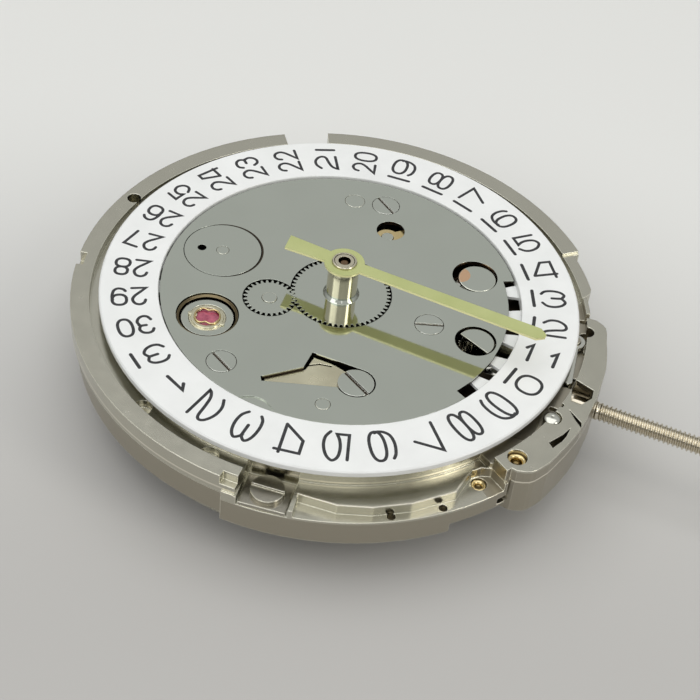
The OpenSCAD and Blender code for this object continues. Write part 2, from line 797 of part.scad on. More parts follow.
module setting_wheel_a() {
    color(steel)
        at(set_a_at, 0)
            difference() {
                translate([0, 0, z_set_low])
                    gear(setting_n, minute_m, z_minute + low_wheel_t - z_set_low, ph_set_a);
                disc(o, disc_post_r + fit, -2, 1);
            }
}

module setting_wheel_b() {
    color(steel)
        at(set_b_at, 0)
            difference() {
                translate([0, 0, z_minute])
                    gear(setting_b_n, minute_m, low_wheel_t, ph_set_b);
                disc(o, disc_post_r + fit, -2, 1);
            }
}

module setting_spring() {
    color(gold)
        difference() {
            union() {
                disc(spring_screw_at, 0.85, z_cal - 0.2, z_cal - 0.02);
                translate([0, 0, z_cal - 0.2])
                    linear_extrude(height = 0.18)
                        polygon([[2.6, -4.85], [1.7, -4.62], [1.3, -4.56], [0.52, -4.56],
                            [0.46, -5.45], [-1.0, -6.85], [-0.9, -7.05], [2.2, -5.9], [2.8, -6.1]]);
            }
            // Slit between the lug and the bent arm
            link([0.4, -5.22], [0.91, -4.84], 0.05, -1, 1);
            bar([0.91, -4.84], [1.44, -4.73], 0.05, -1, 1);
            disc([1.44, -4.73], 0.05, -1, 1);
            disc(spring_screw_at, shank_small + fit, -1, 1);
        }
}

module setting_spring_screw() {
    color(steel)
        screw(spring_screw_at, 0.85, cal_rise - 0.01, 0.17, shank_small - fit, -0.4, -30);
}

module dial_shock_setting() {
    top = z_cal - 0.05;
    color(gold)
        difference() {
            union() {
                band(balance_at, 0.6, shock_r, top - shock_t, top);
                band(balance_at, 0.62, 0.78, top - eps, top + 0.07);
                link(balance_at - [0.85, 0.12], balance_at + [0.85, -0.12], 0.1, top + eps, top + 0.07);
            }
            disc(balance_at, 0.5, -1, 1);
        }
}

module dial_shock_jewel() {
    top = z_cal - 0.05;
    color(ruby)
        difference() {
            disc(balance_at, 0.58, top - 0.25, top - 0.02);
            disc(balance_at, pivot_r + fit, -1, top - 0.1);
        }
}

module casing_clamp() {
    color(nickel)
        difference() {
            rotate([0, 0, clamp_a])
                translate([track_r1, -clamp_w / 2, -1.34])
                    cube([1.75, clamp_w, 0.2]);
            disc(clamp_at - 0.9 * dirn(clamp_a), 0.45, -2, 1);
            disc(clamp_at, shank_small + fit, -2, 1);
        }
}

module casing_clamp_screw() {
    color(steel)
        screw(clamp_at, clamp_screw_r, -0.92, 0.22, shank_small - fit, -2.3, 5);
}

module stem() {
    color(steel)
        union() {
            bar_x(5.3, 6.5 + eps, pilot_r);
            translate([6.5, -square_w / 2, stem_z - square_w / 2])
                cube([pinion_x - 6.5 + eps, square_w, square_w]);
            bar_x(pinion_x, 11.25 + eps, seat_stem_r);
            bar_x(11.25, groove_x - 0.22, shank_r);
            bar_x(groove_x - 0.22 - eps, groove_x + 0.22 + eps, neck_r);
            bar_x(groove_x + 0.22, tab_r - 0.15, shank_r);
            bar_x(tab_r - 0.15 - eps, stem_end, stem_r);
        }
}

module winding_pinion() {
    color(steel)
        difference() {
            union() {
                bar_x(pinion_x, pinion_x + pinion_len, 0.72);
                translate([pinion_x + 0.25, 0, stem_z])
                    rotate([0, 90, 0])
                        gear(pinion_n, contrate_m, 0.9, 180 / pinion_n);
            }
            bar_x(pinion_x - 1, pinion_x + 3, seat_stem_r + fit);
            for (i = [0:7])
                translate([0, 0, stem_z])
                    rotate([45 * i, 0, 0])
                        translate([pinion_x - eps, 0.42, -0.06])
                            cube([0.12, 0.5, 0.12]);
        }
}

module clutch_wheel() {
    color(steel)
        difference() {
            bar_x(clutch_low, clutch_high, clutch_r);
            difference() {
                bar_x(clutch_groove - 0.18, clutch_groove + 0.18, 2);
                bar_x(clutch_groove - 1, clutch_groove + 1, 0.6);
            }
            translate([clutch_low - 1, -square_w / 2 - fit, stem_z - square_w / 2 - fit])
                cube([4, square_w + 2 * fit, square_w + 2 * fit]);
            for (i = [0:7])
                translate([0, 0, stem_z])
                    rotate([45 * i, 0, 0]) {
                        translate([clutch_high - 0.12, 0.5, -0.08])
                            cube([1, 1, 0.16]);
                        translate([clutch_low - 0.7, 0.6, -0.12])
                            cube([1, 1, 0.24]);
                    }
        }
}

module setting_lever() {
    pin = [groove_x, pin_side];
    color(steel)
        difference() {
            union() {
                link(lever_at, pin, 0.2, z_lever, z_lever + lever_t);
                disc(lever_at, 0.48, z_lever, z_lever + lever_t);
                link(lever_at, [9.4, 1.9], 0.2, z_lever, z_lever + lever_t);
                disc(pin, 0.17, stem_z + neck_r + fit, z_lever + eps);
            }
            disc(lever_at, lever_post_r + fit, -2, 1);
        }
}

module yoke() {
    tip = [clutch_groove, -1.25];
    color(steel)
        difference() {
            union() {
                disc(yoke_at, 0.6, z_lever, z_lever + lever_t);
                link(yoke_at, tip, 0.25, z_lever, z_lever + lever_t);
                translate([clutch_groove - 0.12, -1.2, z_lever])
                    cube([0.24, 0.58, lever_t]);
                translate([clutch_groove - 0.12, -0.9, stem_z + 0.15])
                    cube([0.24, 0.28, z_lever - stem_z - 0.1]);
            }
            disc(yoke_at, lever_post_r + fit, -2, 1);
        }
}

module barrel_drum() {
    color(nickel)
        at(barrel_at, 0)
            difference() {
                union() {
                    disc(o, drum_r, z_barrel_low, z_barrel, $fn);
                    translate([0, 0, z_barrel - 0.35])
                        gear(barrel_n, barrel_m, 0.3, 0);
                }
                disc(o, drum_r - barrel_wall, z_barrel_low - 1, z_barrel - 0.2, $fn);
                disc(o, arbor_r + fit, -9, 1);
            }
}

module barrel_cover() {
    color(nickel)
        at(barrel_at, 0)
            difference() {
                disc(o, drum_r - barrel_wall - 0.005, z_barrel_low, z_barrel_low + 0.16, $fn);
                disc(o, arbor_r + fit, -9, 1);
            }
}

module mainspring() {
    color(steel)
        at(barrel_at, 0)
            ribbon(main_in, drum_r - barrel_wall - main_ribbon / 2 - eps, main_turns,
                main_ribbon, z_barrel_low + 0.22, z_barrel - 0.25, main_turns * 24);
}

module barrel_arbor() {
    color(steel)
        at(barrel_at, 0) {
            disc(o, arbor_r, z_ratchet - ratchet_t, z_web + 0.5);
            disc(o, main_in - main_ribbon / 2 - 0.03, z_barrel_low + 0.22, z_barrel - 0.25);
        }
}

module ratchet_wheel() {
    color(steel)
        at(barrel_at, 0)
            union() {
                difference() {
                    translate([0, 0, z_ratchet - ratchet_t])
                        gear(ratchet_n, wind_m, ratchet_t, 0);
                    disc(o, arbor_r + 0.005, -9, z_ratchet + 1);
                }
                difference() {
                    disc(o, 0.95, z_ratchet - ratchet_t - 0.14, z_ratchet - ratchet_t);
                    translate([-1, -0.1, z_ratchet - ratchet_t - 1.06])
                        cube([2, 0.2, 1]);
                }
            }
}

module crown_wheel() {
    mid = contrate_n * contrate_m / 2;
    color(steel)
        at(crown_at, 0)
            union() {
                disc(o, mid + 0.15, z_crown - crown_t, z_crown);
                for (i = [0:contrate_n - 1])
                    rotate([0, 0, i * 360 / contrate_n])
                        translate([mid - 0.15, -0.06, z_crown - eps])
                            cube([0.28, 0.12, 0.3]);
                disc(o, crown_arbor_r, z_ratchet - ratchet_t - eps, z_crown);
                translate([0, 0, z_ratchet - ratchet_t])
                    gear(crown_n, wind_m, ratchet_t, ph_crown);
                difference() {
                    disc(o, 0.8, z_ratchet - ratchet_t - 0.12, z_ratchet - ratchet_t + eps);
                    translate([-1, -0.08, z_ratchet - ratchet_t - 1.06])
                        cube([2, 0.16, 1]);
                }
            }
}

module crown_idler() {
    color(steel)
        at(crown_idler_at, 0)
            difference() {
                translate([0, 0, z_ratchet - ratchet_t])
                    gear(crown_idler_n, wind_m, ratchet_t, ph_crown_idler);
                disc(o, arbor_r + fit, -9, 1);
            }
}

module click() {
    beak = barrel_at + (ratchet_n * wind_m / 2 + 0.32) * dirn(bear(barrel_at, click_at) + 12);
    color(steel)
        difference() {
            union() {
                disc(click_at, 0.75, z_ratchet - ratchet_t, z_ratchet);
                link(click_at, beak, 0.2, z_ratchet - ratchet_t, z_ratchet);
            }
            disc(click_at, crown_arbor_r + fit, -9, 1);
        }
}

module click_spring() {
    far = click_at + [0.9, -1.9];
    color(steel)
        union() {
            link(click_at + [-0.1, -0.84], far, 0.07, z_ratchet - ratchet_t + 0.03, z_ratchet - 0.03);
            disc(far, 0.3, z_ratchet - ratchet_t, z_ratchet);
        }
}

// A wheel with arms, seen from the centre of its arbor
module spoked(n, m, z, hub, spokes, w, phase) {
    difference() {
        translate([0, 0, z])
            gear(n, m, wheel_t, phase);
        arms(hub, n * m / 2 - 0.38, w, spokes, z - 1, z + 1);
    }
}

module centre_wheel() {
    color(gold)
        difference() {
            union() {
                spoked(centre_n, centre_m, z_centre, 0.9, 5, 0.36, 0);
                disc(o, 0.5, z_centre - 0.05, z_barrel);
                translate([0, 0, z_barrel - 0.4])
                    gear(centre_low_n, barrel_m, 0.4, ph_centre_low);
                disc(o, centre_r, z_centre - 0.05, 1.2);
            }
            disc(o, centre_bore, -9, 9);
        }
}

module third_wheel() {
    color(gold)
        at(third_at, 0)
            union() {
                spoked(third_n, third_m, z_third, 0.6, 5, 0.34, 0);
                disc(o, 0.16, z_bridge, z_web);
                translate([0, 0, z_centre - 0.06])
                    gear(third_low_n, centre_m, wheel_t + 0.12, ph_third_low);
                disc(o, pivot_r, z_bridge - 0.2, z_web + 0.2);
            }
}

module fourth_wheel() {
    color(gold)
        union() {
            spoked(fourth_n, fourth_m, z_fourth, 0.6, 5, 0.34, 0);
            translate([0, 0, z_third - 0.02])
                gear(fourth_low_n, third_m, wheel_t + 0.05, ph_fourth_low);
            disc(o, 0.3, z_fourth - 0.04, z_third);
            disc(o, fourth_r, z_fourth - 0.05, tube_rise - 0.15);
            disc(o, pivot_r, z_bridge - 0.2, z_fourth);
        }
}

module escape_wheel() {
    r = escape_r;
    step = 360 / escape_n;
    color(gold)
        at(escape_at, 0)
            union() {
                difference() {
                    translate([0, 0, z_escape])
                        rotate([0, 0, pallet_dir + 31])
                            linear_extrude(height = wheel_t)
                                polygon([for (i = [0:escape_n - 1], p = [[-8, 0.76], [-2, 0.82], [-1.2, 0.99],
                                    [1.2, 1], [0.5, 0.84], [4, 0.76]])
                                    r * p[1] * dirn(i * step + p[0])]);
                    arms(0.45, r * 0.62, 0.22, 4, z_escape - 1, z_escape + 1);
                }
                disc(o, 0.14, z_bridge, z_web);
                translate([0, 0, z_fourth - 0.04])
                    gear(escape_low_n, fourth_m, z_third - z_fourth, ph_escape_low);
                disc(o, pivot_r, z_bridge - 0.2, z_web + 0.2);
            }
}

module pallet_fork() {
    stone_y = escape_r / 2;
    stone_x = escape_r * cos(30) - pallet_gap;
    at(pallet_at, 0)
        rotate([0, 0, pallet_dir])
            union() {
                color(steel)
                    translate([0, 0, z_fork])
                        linear_extrude(height = wheel_t)
                            polygon([[stone_x + 0.05, -stone_y - 0.16], [stone_x + 0.4, -stone_y - 0.16],
                                [0.3, -0.28], [1.2, -0.13], [lever_len - 0.75, -0.1],
                                [lever_len - 0.62, -0.26], [lever_len - 0.38, -0.22],
                                [lever_len - 0.38, -0.1], [lever_len - 0.6, -0.09],
                                [lever_len - 0.6, 0.09], [lever_len - 0.38, 0.1],
                                [lever_len - 0.38, 0.22], [lever_len - 0.62, 0.26],
                                [lever_len - 0.75, 0.1], [1.2, 0.13], [0.3, 0.28],
                                [stone_x + 0.4, stone_y + 0.16], [stone_x + 0.05, stone_y + 0.16],
                                [stone_x + 0.05, stone_y - 0.16], [-0.15, 0.22], [-0.22, 0],
                                [-0.15, -0.22], [stone_x + 0.05, -stone_y + 0.16]]);
                color(ruby)
                    for (s = [-1, 1])
                        translate([stone_x - 0.01, s * stone_y - 0.07, z_fork - 0.01])
                            cube([0.35, 0.14, wheel_t + 0.02]);
                disc(o, 0.13, z_pcock + pcock_t + fit, z_web);
                disc(o, pivot_r, z_pcock + 0.05, z_web + 0.2);
            }
}

module pallet_cock() {
    color(nickel)
        difference() {
            union() {
                link(pallet_at, cock_foot, 0.62, z_pcock, z_pcock + pcock_t);
                disc(cock_foot, 0.95, z_pcock, z_web);
                difference() {
                    disc(cock_foot, 0.6, z_pcock - 0.14, z_pcock + eps);
                    at(cock_foot, z_pcock - 1.07)
                        rotate([0, 0, 20])
                            translate([-1, -0.07, 0])
                                cube([2, 0.14, 1]);
                }
            }
            disc(pallet_at, 0.4, z_pcock - 1, z_pcock + pcock_t + 0.2);
        }
}

// A jewel: a ring with a pivot hole
module jewel(p, z, t, r = jewel_r - 0.01) {
    difference() {
        disc(p, r, z, z + t);
        disc(p, pivot_r + fit, z - 1, z + t + 1);
    }
}

module train_jewels() {
    color(ruby) {
        for (p = [third_at, escape_at, pallet_at])
            jewel(p, z_web + 0.01, jewel_t - 0.02);
        for (p = [third_at, escape_at, o])
            jewel(p, z_bridge - jewel_t, jewel_t - 0.01);
        jewel(pallet_at, z_pcock + 0.01, pcock_t - 0.02, 0.39);
    }
}

module balance_wheel() {
    color(gold)
        at(balance_at, 0)
            difference() {
                disc(o, balance_r, z_balance, z_balance + balance_t, 120);
                disc(o, balance_r - balance_w, z_balance + 0.15, z_balance + 1, 120);
                rotate([0, 0, 25])
                    arms(0.7, balance_r - balance_w - 0.04, 0.6, 3, z_balance - 1, z_balance + 1);
                disc(o, staff_r + 0.005, -9, 1);
            }
}

module balance_staff() {
    color(steel)
        at(balance_at, 0)
            rotate([0, 0, pallet_dir + 180])
                union() {
                    disc(o, staff_r, z_cock + 0.04, z_web - 0.1);
                    disc(o, pivot_r, z_cock_low + 0.1, z_cal - 0.2);
                    disc(o, roller_r, z_roller - 0.15, z_roller);
                    disc([pin_orbit, 0], pin_r, z_roller - eps, z_fork + wheel_t);
                }
}

module hairspring() {
    echo(hairspring_gap = (hair_r - hair_in) / hair_turns - hair_w);
    color(steel)
        at(balance_at, 0)
            union() {
                ribbon(hair_in, hair_r, hair_turns, hair_w, z_cock + 0.04, z_cock + 0.15, hair_turns * 24);
                band(o, staff_r + 0.005, hair_in - 0.02, z_cock + 0.04, z_cock + 0.15);
            }
}

module train_bridge() {
    away = bear(o, balance_at);
    color(nickel)
        difference() {
            union() {
                difference() {
                    disc(o, bridge_r, z_bridge_low, z_bridge, 120);
                    link(balance_at, balance_at + 6 * dirn(away), balance_r + 0.09, z_bridge_low - 1, 0);
                    link(balance_at, balance_foot, 1.8, z_bridge_low - 1, 0);
                }
                disc(crown_idler_at, arbor_r, z_ratchet - ratchet_t, z_bridge_low + eps);
                disc(crown_idler_at, 0.8, z_ratchet - ratchet_t - 0.1, z_ratchet - ratchet_t - 0.02);
                disc(crown_idler_at, 0.3, z_ratchet - ratchet_t - 0.05, z_ratchet - 0.05);
                disc(click_at, crown_arbor_r, z_ratchet - ratchet_t, z_bridge_low + eps);
            }
            disc(barrel_at, arbor_r + fit, -9, 0);
            disc(crown_at, crown_arbor_r + fit, -9, 0);
            for (p = [third_at, escape_at, o]) {
                disc(p, jewel_r, z_bridge - jewel_t - 0.01, z_bridge + 1);
                disc(p, 0.25, z_bridge_low - 1, z_bridge);
            }
            for (p = concat(bridge_posts, auto_posts))
                disc(p, shank_small + fit, z_bridge_low - 1, z_bridge + 0.5);
            for (p = [rev_a_at, rev_b_at, reduction_at])
                disc(p, 0.12 + fit, z_bridge_low - 1, z_bridge + 0.5);
        }
}

module balance_cock() {
    color(nickel)
        difference() {
            union() {
                disc(balance_foot, 1.5, z_cock_low, z_web);
                link(balance_foot, balance_at, 0.9, z_cock_low, z_cock);
                disc(balance_at, 1.3, z_cock_low, z_cock);
            }
            disc(balance_at, 0.62, z_cock_low - 1, z_cock + 0.03);
            disc(balance_foot, shank_small + fit, z_cock_low - 1, -3);
        }
}

module back_shock_setting() {
    color(gold)
        union() {
            band(balance_at, 0.42, 0.6, z_cock_low - 0.12, z_cock - 0.01);
            color(ruby)
                difference() {
                    disc(balance_at, 0.43, z_cock_low, z_cock - 0.03);
                    disc(balance_at, pivot_r + fit, z_cock_low + 0.08, z_cock + 1);
                }
        }
}

module regulator() {
    color(steel)
        difference() {
            union() {
                disc(balance_at, 1.0, z_index - index_t, z_index);
                link(balance_at, balance_at + 2.6 * dirn(25), 0.14, z_index - index_t, z_index);
            }
            disc(balance_at, 0.72, -9, 0);
        }
}

module stud_holder() {
    stud = balance_at + (hair_r + 0.2) * dirn(0);
    color(steel)
        difference() {
            union() {
                disc(balance_at, 1.35, z_index - index_t, z_index);
                link(balance_at, stud, 0.17, z_index - index_t, z_index);
                disc(stud, 0.16, z_index - index_t, z_cock + 0.15);
            }
            disc(balance_at, 1.05, -9, z_index + eps);
            at(balance_at, 0)
                sector(0.9, 1.5, 2, 48, z_index - 1, z_index + eps);
        }
}

module bridge_screws() {
    color(steel) {
        for (p = bridge_posts)
            back_screw(p, bridge_screw_r, z_bridge_low - 0.2, 0.2, shank_small - fit, z_bridge + 0.8, 35);
        for (p = auto_posts)
            back_screw(p, 0.65, z_auto_low - 0.13, 0.13, shank_small - fit, z_bridge_low + 0.3, 70);
        back_screw(balance_foot, 0.9, z_cock_low - 0.13, 0.13, shank_small - fit, -3.1, 10);
    }
}

module auto_bridge() {
    color(nickel)
        difference() {
            union() {
                disc(o, 1.6, z_auto_low, z_auto);
                for (p = [rev_a_at, rev_b_at, reduction_at, auto_posts[0], auto_posts[1]])
                    disc(p, 0.9, z_auto_low, z_auto);
                for (ends = [[o, rev_a_at], [rev_a_at, rev_b_at], [rev_b_at, auto_posts[0]],
                    [reduction_at, auto_posts[0]], [reduction_at, rev_a_at], [o, auto_posts[1]]])
                    bar(ends[0], ends[1], 0.8, z_auto_low, z_auto);
                for (p = auto_posts)
                    disc(p, 0.8, z_auto, z_bridge_low);
            }
            for (p = [rev_a_at, rev_b_at])
                disc(p, rev_arbor_r + fit, -9, 0);
            disc(reduction_at, 0.15 + fit, -9, 0);
            for (p = auto_posts)
                disc(p, shank_small + fit, -9, 0);
            disc(o, rotor_post_r + 0.005, -9, 0);
        }
}

module rotor_post() {
    color(steel)
        difference() {
            union() {
                disc(o, rotor_post_r, z_back - 0.02, z_auto - 0.02);
                disc(o, 0.95, z_auto_low - 0.03, z_auto_low);
                disc(o, 0.95, z_back - 0.14, z_back - 0.02);
            }
            translate([-2, -0.1, z_back - 1.07])
                cube([4, 0.2, 1]);
        }
}

module reverser(p, phase) {
    color(gold)
        at(p, 0)
            difference() {
                translate([0, 0, z_rotor_gear - rotor_gear_t])
                    gear(reverser_n, rotor_m, rotor_gear_t, phase);
                disc(o, rev_arbor_r + fit, -9, 0);
            }
}

module reverser_a() {
    reverser(rev_a_at, ph_rev_a);
}

module reverser_b() {
    reverser(rev_b_at, ph_rev_b);
}

module reverser_pinion(p, phase) {
    color(steel)
        at(p, 0)
            union() {
                disc(o, rev_arbor_r, z_rotor_gear - rotor_gear_t, z_low_gear + low_gear_t);
                disc(o, 0.12, z_low_gear, z_bridge_low + 0.2);
                translate([0, 0, z_low_gear])
                    gear(reverser_low_n, wind_m, low_gear_t, phase);
            }
}

module reverser_pinion_a() {
    reverser_pinion(rev_a_at, ph_low_a);
}

module reverser_pinion_b() {
    reverser_pinion(rev_b_at, ph_low_b);
}

module reduction_wheel() {
    color(gold)
        at(reduction_at, 0)
            union() {
                difference() {
                    translate([0, 0, z_low_gear])
                        gear(reduction_n, wind_m, low_gear_t, 0);
                    arms(0.7, reduction_n * wind_m / 2 - 0.4, 0.4, 5, -9, 0);
                }
                translate([0, 0, z_ratchet - ratchet_t])
                    gear(reduction_low_n, wind_m, ratchet_t, ph_reduction_low);
                disc(o, 0.4, z_low_gear + low_gear_t - eps, z_ratchet - ratchet_t + eps);
                disc(o, 0.15, z_auto_low, z_low_gear + eps);
                disc(o, 0.12, z_ratchet - eps, z_bridge_low + 0.2);
            }
}

module rotor_plate() {
    color(nickel)
        difference() {
            union() {
                disc(o, 1.9, z_back, z_rotor, $fn);
                sector(0.3, rotor_in, 0, 180, z_back, z_rotor);
            }
            disc(o, rotor_post_r + fit, -9, 0);
            for (a = [30, 90, 150])
                sector(3.4, rotor_in - 1.6, a - 18, a + 18, -9, 0);
        }
}

module rotor_weight() {
    color(nickel)
        sector(rotor_in, rotor_r, 2, 178, z_back, z_back + rotor_rim_t);
}

module rotor_gear() {
    color(gold)
        difference() {
            translate([0, 0, z_rotor])
                gear(rotor_n, rotor_m, z_rotor_gear - z_rotor, 0);
            disc(o, rotor_post_r + fit, -9, 0);
        }
}

main_plate();
calendar_plate();
calendar_screws();
date_ring();
date_jumper();
date_idler();
date_driving_wheel();
date_finger();
hour_wheel();
hand();
cannon_pinion();
minute_wheel();
setting_wheel_a();
setting_wheel_b();
setting_spring();
setting_spring_screw();
dial_shock_setting();
dial_shock_jewel();
casing_clamp();
casing_clamp_screw();
stem();
winding_pinion();
clutch_wheel();
setting_lever();
yoke();
barrel_drum();
barrel_cover();
mainspring();
barrel_arbor();
ratchet_wheel();
crown_wheel();
crown_idler();
click();
click_spring();
centre_wheel();
third_wheel();
fourth_wheel();
escape_wheel();
pallet_fork();
pallet_cock();
train_jewels();
balance_wheel();
balance_staff();
hairspring();
train_bridge();
balance_cock();
back_shock_setting();
regulator();
stud_holder();
bridge_screws();
auto_bridge();
rotor_post();
reverser_a();
reverser_b();
reverser_pinion_a();
reverser_pinion_b();
reduction_wheel();
rotor_plate();
rotor_weight();
rotor_gear();
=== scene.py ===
"""Looks of the automatic watch movement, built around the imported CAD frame.

Sizes and places are in millimetres unless said otherwise, and MM takes them to the frame's metres.
"""
import math

import bpy
from mathutils import Matrix, Vector


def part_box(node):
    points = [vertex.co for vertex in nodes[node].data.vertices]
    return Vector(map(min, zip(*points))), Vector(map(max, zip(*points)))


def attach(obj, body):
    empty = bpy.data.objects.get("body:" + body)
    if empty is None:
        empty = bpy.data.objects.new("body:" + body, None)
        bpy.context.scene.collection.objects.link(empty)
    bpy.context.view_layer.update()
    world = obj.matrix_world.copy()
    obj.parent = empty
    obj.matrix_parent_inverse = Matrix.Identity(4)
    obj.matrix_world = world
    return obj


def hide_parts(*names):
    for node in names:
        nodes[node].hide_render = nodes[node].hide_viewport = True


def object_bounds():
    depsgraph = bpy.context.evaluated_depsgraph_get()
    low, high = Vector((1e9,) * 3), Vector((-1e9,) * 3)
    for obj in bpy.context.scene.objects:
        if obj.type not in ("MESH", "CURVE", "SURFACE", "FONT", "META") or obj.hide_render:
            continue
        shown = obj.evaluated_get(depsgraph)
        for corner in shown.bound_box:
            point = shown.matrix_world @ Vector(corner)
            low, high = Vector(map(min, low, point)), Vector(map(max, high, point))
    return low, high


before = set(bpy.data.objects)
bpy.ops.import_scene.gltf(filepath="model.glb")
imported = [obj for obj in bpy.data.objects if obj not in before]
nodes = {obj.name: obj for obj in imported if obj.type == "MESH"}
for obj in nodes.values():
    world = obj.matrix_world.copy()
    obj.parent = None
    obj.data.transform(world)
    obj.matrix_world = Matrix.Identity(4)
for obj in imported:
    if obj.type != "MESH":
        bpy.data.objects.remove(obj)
cad_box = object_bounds()
MM = 0.001


def top_of(node):
    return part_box(node)[1].z / MM


# Camera of the photograph: place, aim, small turns after aiming in radians, lens and sensor
CAMERA_AT = (17.93, -55.19, 53.4)
AIM_AT = (0.0, 0.0, 0.4)
PAN, TILT, ROLL = -0.0094, 0.036, 0.1117
LENS = 83.24
SENSOR = 36.0
CLIP_NEAR, CLIP_FAR = 5, 10000

# Heights, and where the stem ends, from the frame
RING_TOP = top_of("date_ring")
COVER_TOP = top_of("calendar_plate")
HAND_TOP = top_of("hand")
SETTING_TOP = top_of("dial_shock_setting")
STEM_LOW, STEM_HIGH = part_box("stem")
STEM_Z = (STEM_LOW.z + STEM_HIGH.z) / 2 / MM
STEM_END = STEM_HIGH.x / MM

# Places on the dial side: x and y, and for each window its radius too
SHOCK_AT = (-5.09, -4.36)
DOME_PIN_AT = (11.79, -3.05)
LAND_HOLE_AT = (11.08, -6.12)
SHELF_HOLE_AT = (9.82, -7.26)
DISC_AT = (-6.40, 0.13)
DISC_R = 1.9
WINDOWS = [(0.50, 5.43, 0.72), (5.50, 4.14, 1.13), (7.02, -0.20, 1.0)]


# Shader helpers; a noise stays near its middle, between NOISE_LOW and NOISE_HIGH
NOISE_LOW, NOISE_HIGH = 0.3, 0.7
EDGE_START, EDGE_FULL = 0.995, 0.9
# Roughness of the painted highlight along edges
EDGE_HIGHLIGHT_ROUGH = 0.14
BUMP_STRENGTH = 0.35
BUMP_DEPTH = 0.001


def shader(name):
    material = bpy.data.materials.new(name)
    material.use_nodes = True
    tree = material.node_tree
    return material, tree, tree.nodes["Principled BSDF"]


def noise(tree, scale, detail=3.0, stretch=(1, 1, 1)):
    """A noise in the object's own millimetres."""
    coords = tree.nodes.new("ShaderNodeTexCoord")
    mapping = tree.nodes.new("ShaderNodeMapping")
    mapping.inputs["Scale"].default_value = [s / MM for s in stretch]
    texture = tree.nodes.new("ShaderNodeTexNoise")
    texture.inputs["Scale"].default_value = scale
    texture.inputs["Detail"].default_value = detail
    tree.links.new(coords.outputs["Object"], mapping.inputs["Vector"])
    tree.links.new(mapping.outputs["Vector"], texture.inputs["Vector"])
    return texture.outputs["Fac"]


def ranged(tree, value, start, end, low=0.0, high=1.0):
    """Takes a value that runs from start to end to the range low to high."""
    node = tree.nodes.new("ShaderNodeMapRange")
    node.inputs["From Min"].default_value = start
    node.inputs["From Max"].default_value = end
    node.inputs["To Min"].default_value = low
    node.inputs["To Max"].default_value = high
    tree.links.new(value, node.inputs["Value"])
    return node.outputs["Result"]


def spread(tree, value, low, high):
    """Takes a noise to the range low to high."""
    return ranged(tree, value, NOISE_LOW, NOISE_HIGH, low, high)


def tint(tree, value, dark, light):
    mix = tree.nodes.new("ShaderNodeMix")
    mix.data_type = "RGBA"
    mix.inputs["A"].default_value = (*dark, 1)
    mix.inputs["B"].default_value = (*light, 1)
    tree.links.new(value, mix.inputs["Factor"])
    return mix.outputs["Result"]


def mottled(tree, scale, detail, dark, light):
    """A colour that drifts between two tones."""
    return tint(tree, spread(tree, noise(tree, scale, detail), 0, 1), dark, light)


def over(tree, mask, below, top, kind="RGBA"):
    """Puts a fixed colour or value over another where the mask is 1."""
    mix = tree.nodes.new("ShaderNodeMix")
    mix.data_type = kind
    tree.links.new(mask, mix.inputs["Factor"])
    a, b = [i for i in mix.inputs if i.name in "AB" and i.enabled]
    tree.links.new(below, a)
    b.default_value = (*top, 1) if kind == "RGBA" else top
    return [o for o in mix.outputs if o.enabled][0]


def bevel_normal(tree, radius, samples):
    bevel = tree.nodes.new("ShaderNodeBevel")
    bevel.inputs["Radius"].default_value = radius * MM
    bevel.samples = samples
    return bevel.outputs["Normal"]


def edge_mask(tree, radius):
    """1 on edges, 0 on flat faces: where the rounded normal leaves the true one."""
    normal = bevel_normal(tree, radius, samples=6)
    geometry = tree.nodes.new("ShaderNodeNewGeometry")
    same = tree.nodes.new("ShaderNodeVectorMath")
    same.operation = "DOT_PRODUCT"
    tree.links.new(normal, same.inputs[0])
    tree.links.new(geometry.outputs["Normal"], same.inputs[1])
    return ranged(tree, same.outputs["Value"], EDGE_START, EDGE_FULL)


def rounded(tree, principled, radius, value=None):
    """Rounds the edges that catch light, and adds a fine bump where a value is given."""
    normal = bevel_normal(tree, radius, samples=4)
    if value is not None:
        bump = tree.nodes.new("ShaderNodeBump")
        bump.inputs["Strength"].default_value = BUMP_STRENGTH
        bump.inputs["Distance"].default_value = BUMP_DEPTH * MM
        tree.links.new(value, bump.inputs["Height"])
        tree.links.new(normal, bump.inputs["Normal"])
        normal = bump.outputs["Normal"]
    tree.links.new(normal, principled.inputs["Normal"])


def round_place(tree, vector, pool):
    """1 within a round place (x, y, r), at any height."""
    flat = tree.nodes.new("ShaderNodeVectorMath")
    flat.operation = "MULTIPLY"
    flat.inputs[1].default_value = (1, 1, 0)
    reach = tree.nodes.new("ShaderNodeVectorMath")
    reach.operation = "DISTANCE"
    reach.inputs[1].default_value = (pool[0] * MM, pool[1] * MM, 0)
    near = tree.nodes.new("ShaderNodeMath")
    near.operation = "LESS_THAN"
    near.inputs[1].default_value = pool[2] * MM
    tree.links.new(vector, flat.inputs[0])
    tree.links.new(flat.outputs["Vector"], reach.inputs[0])
    tree.links.new(reach.outputs["Value"], near.inputs[0])
    return near.outputs["Value"]


def height_zone(tree, low, high, pool=None):
    """1 between two heights of the object's own, all over or in a round place."""
    coords = tree.nodes.new("ShaderNodeTexCoord")
    split = tree.nodes.new("ShaderNodeSeparateXYZ")
    inside = tree.nodes.new("ShaderNodeMath")
    inside.operation = "COMPARE"
    inside.inputs[1].default_value = (low + high) / 2 * MM
    inside.inputs[2].default_value = (high - low) / 2 * MM
    tree.links.new(coords.outputs["Object"], split.inputs["Vector"])
    tree.links.new(split.outputs["Z"], inside.inputs[0])
    if pool is None:
        return inside.outputs["Value"]
    both = tree.nodes.new("ShaderNodeMath")
    both.operation = "MULTIPLY"
    tree.links.new(round_place(tree, coords.outputs["Object"], pool), both.inputs[0])
    tree.links.new(inside.outputs["Value"], both.inputs[1])
    return both.outputs["Value"]


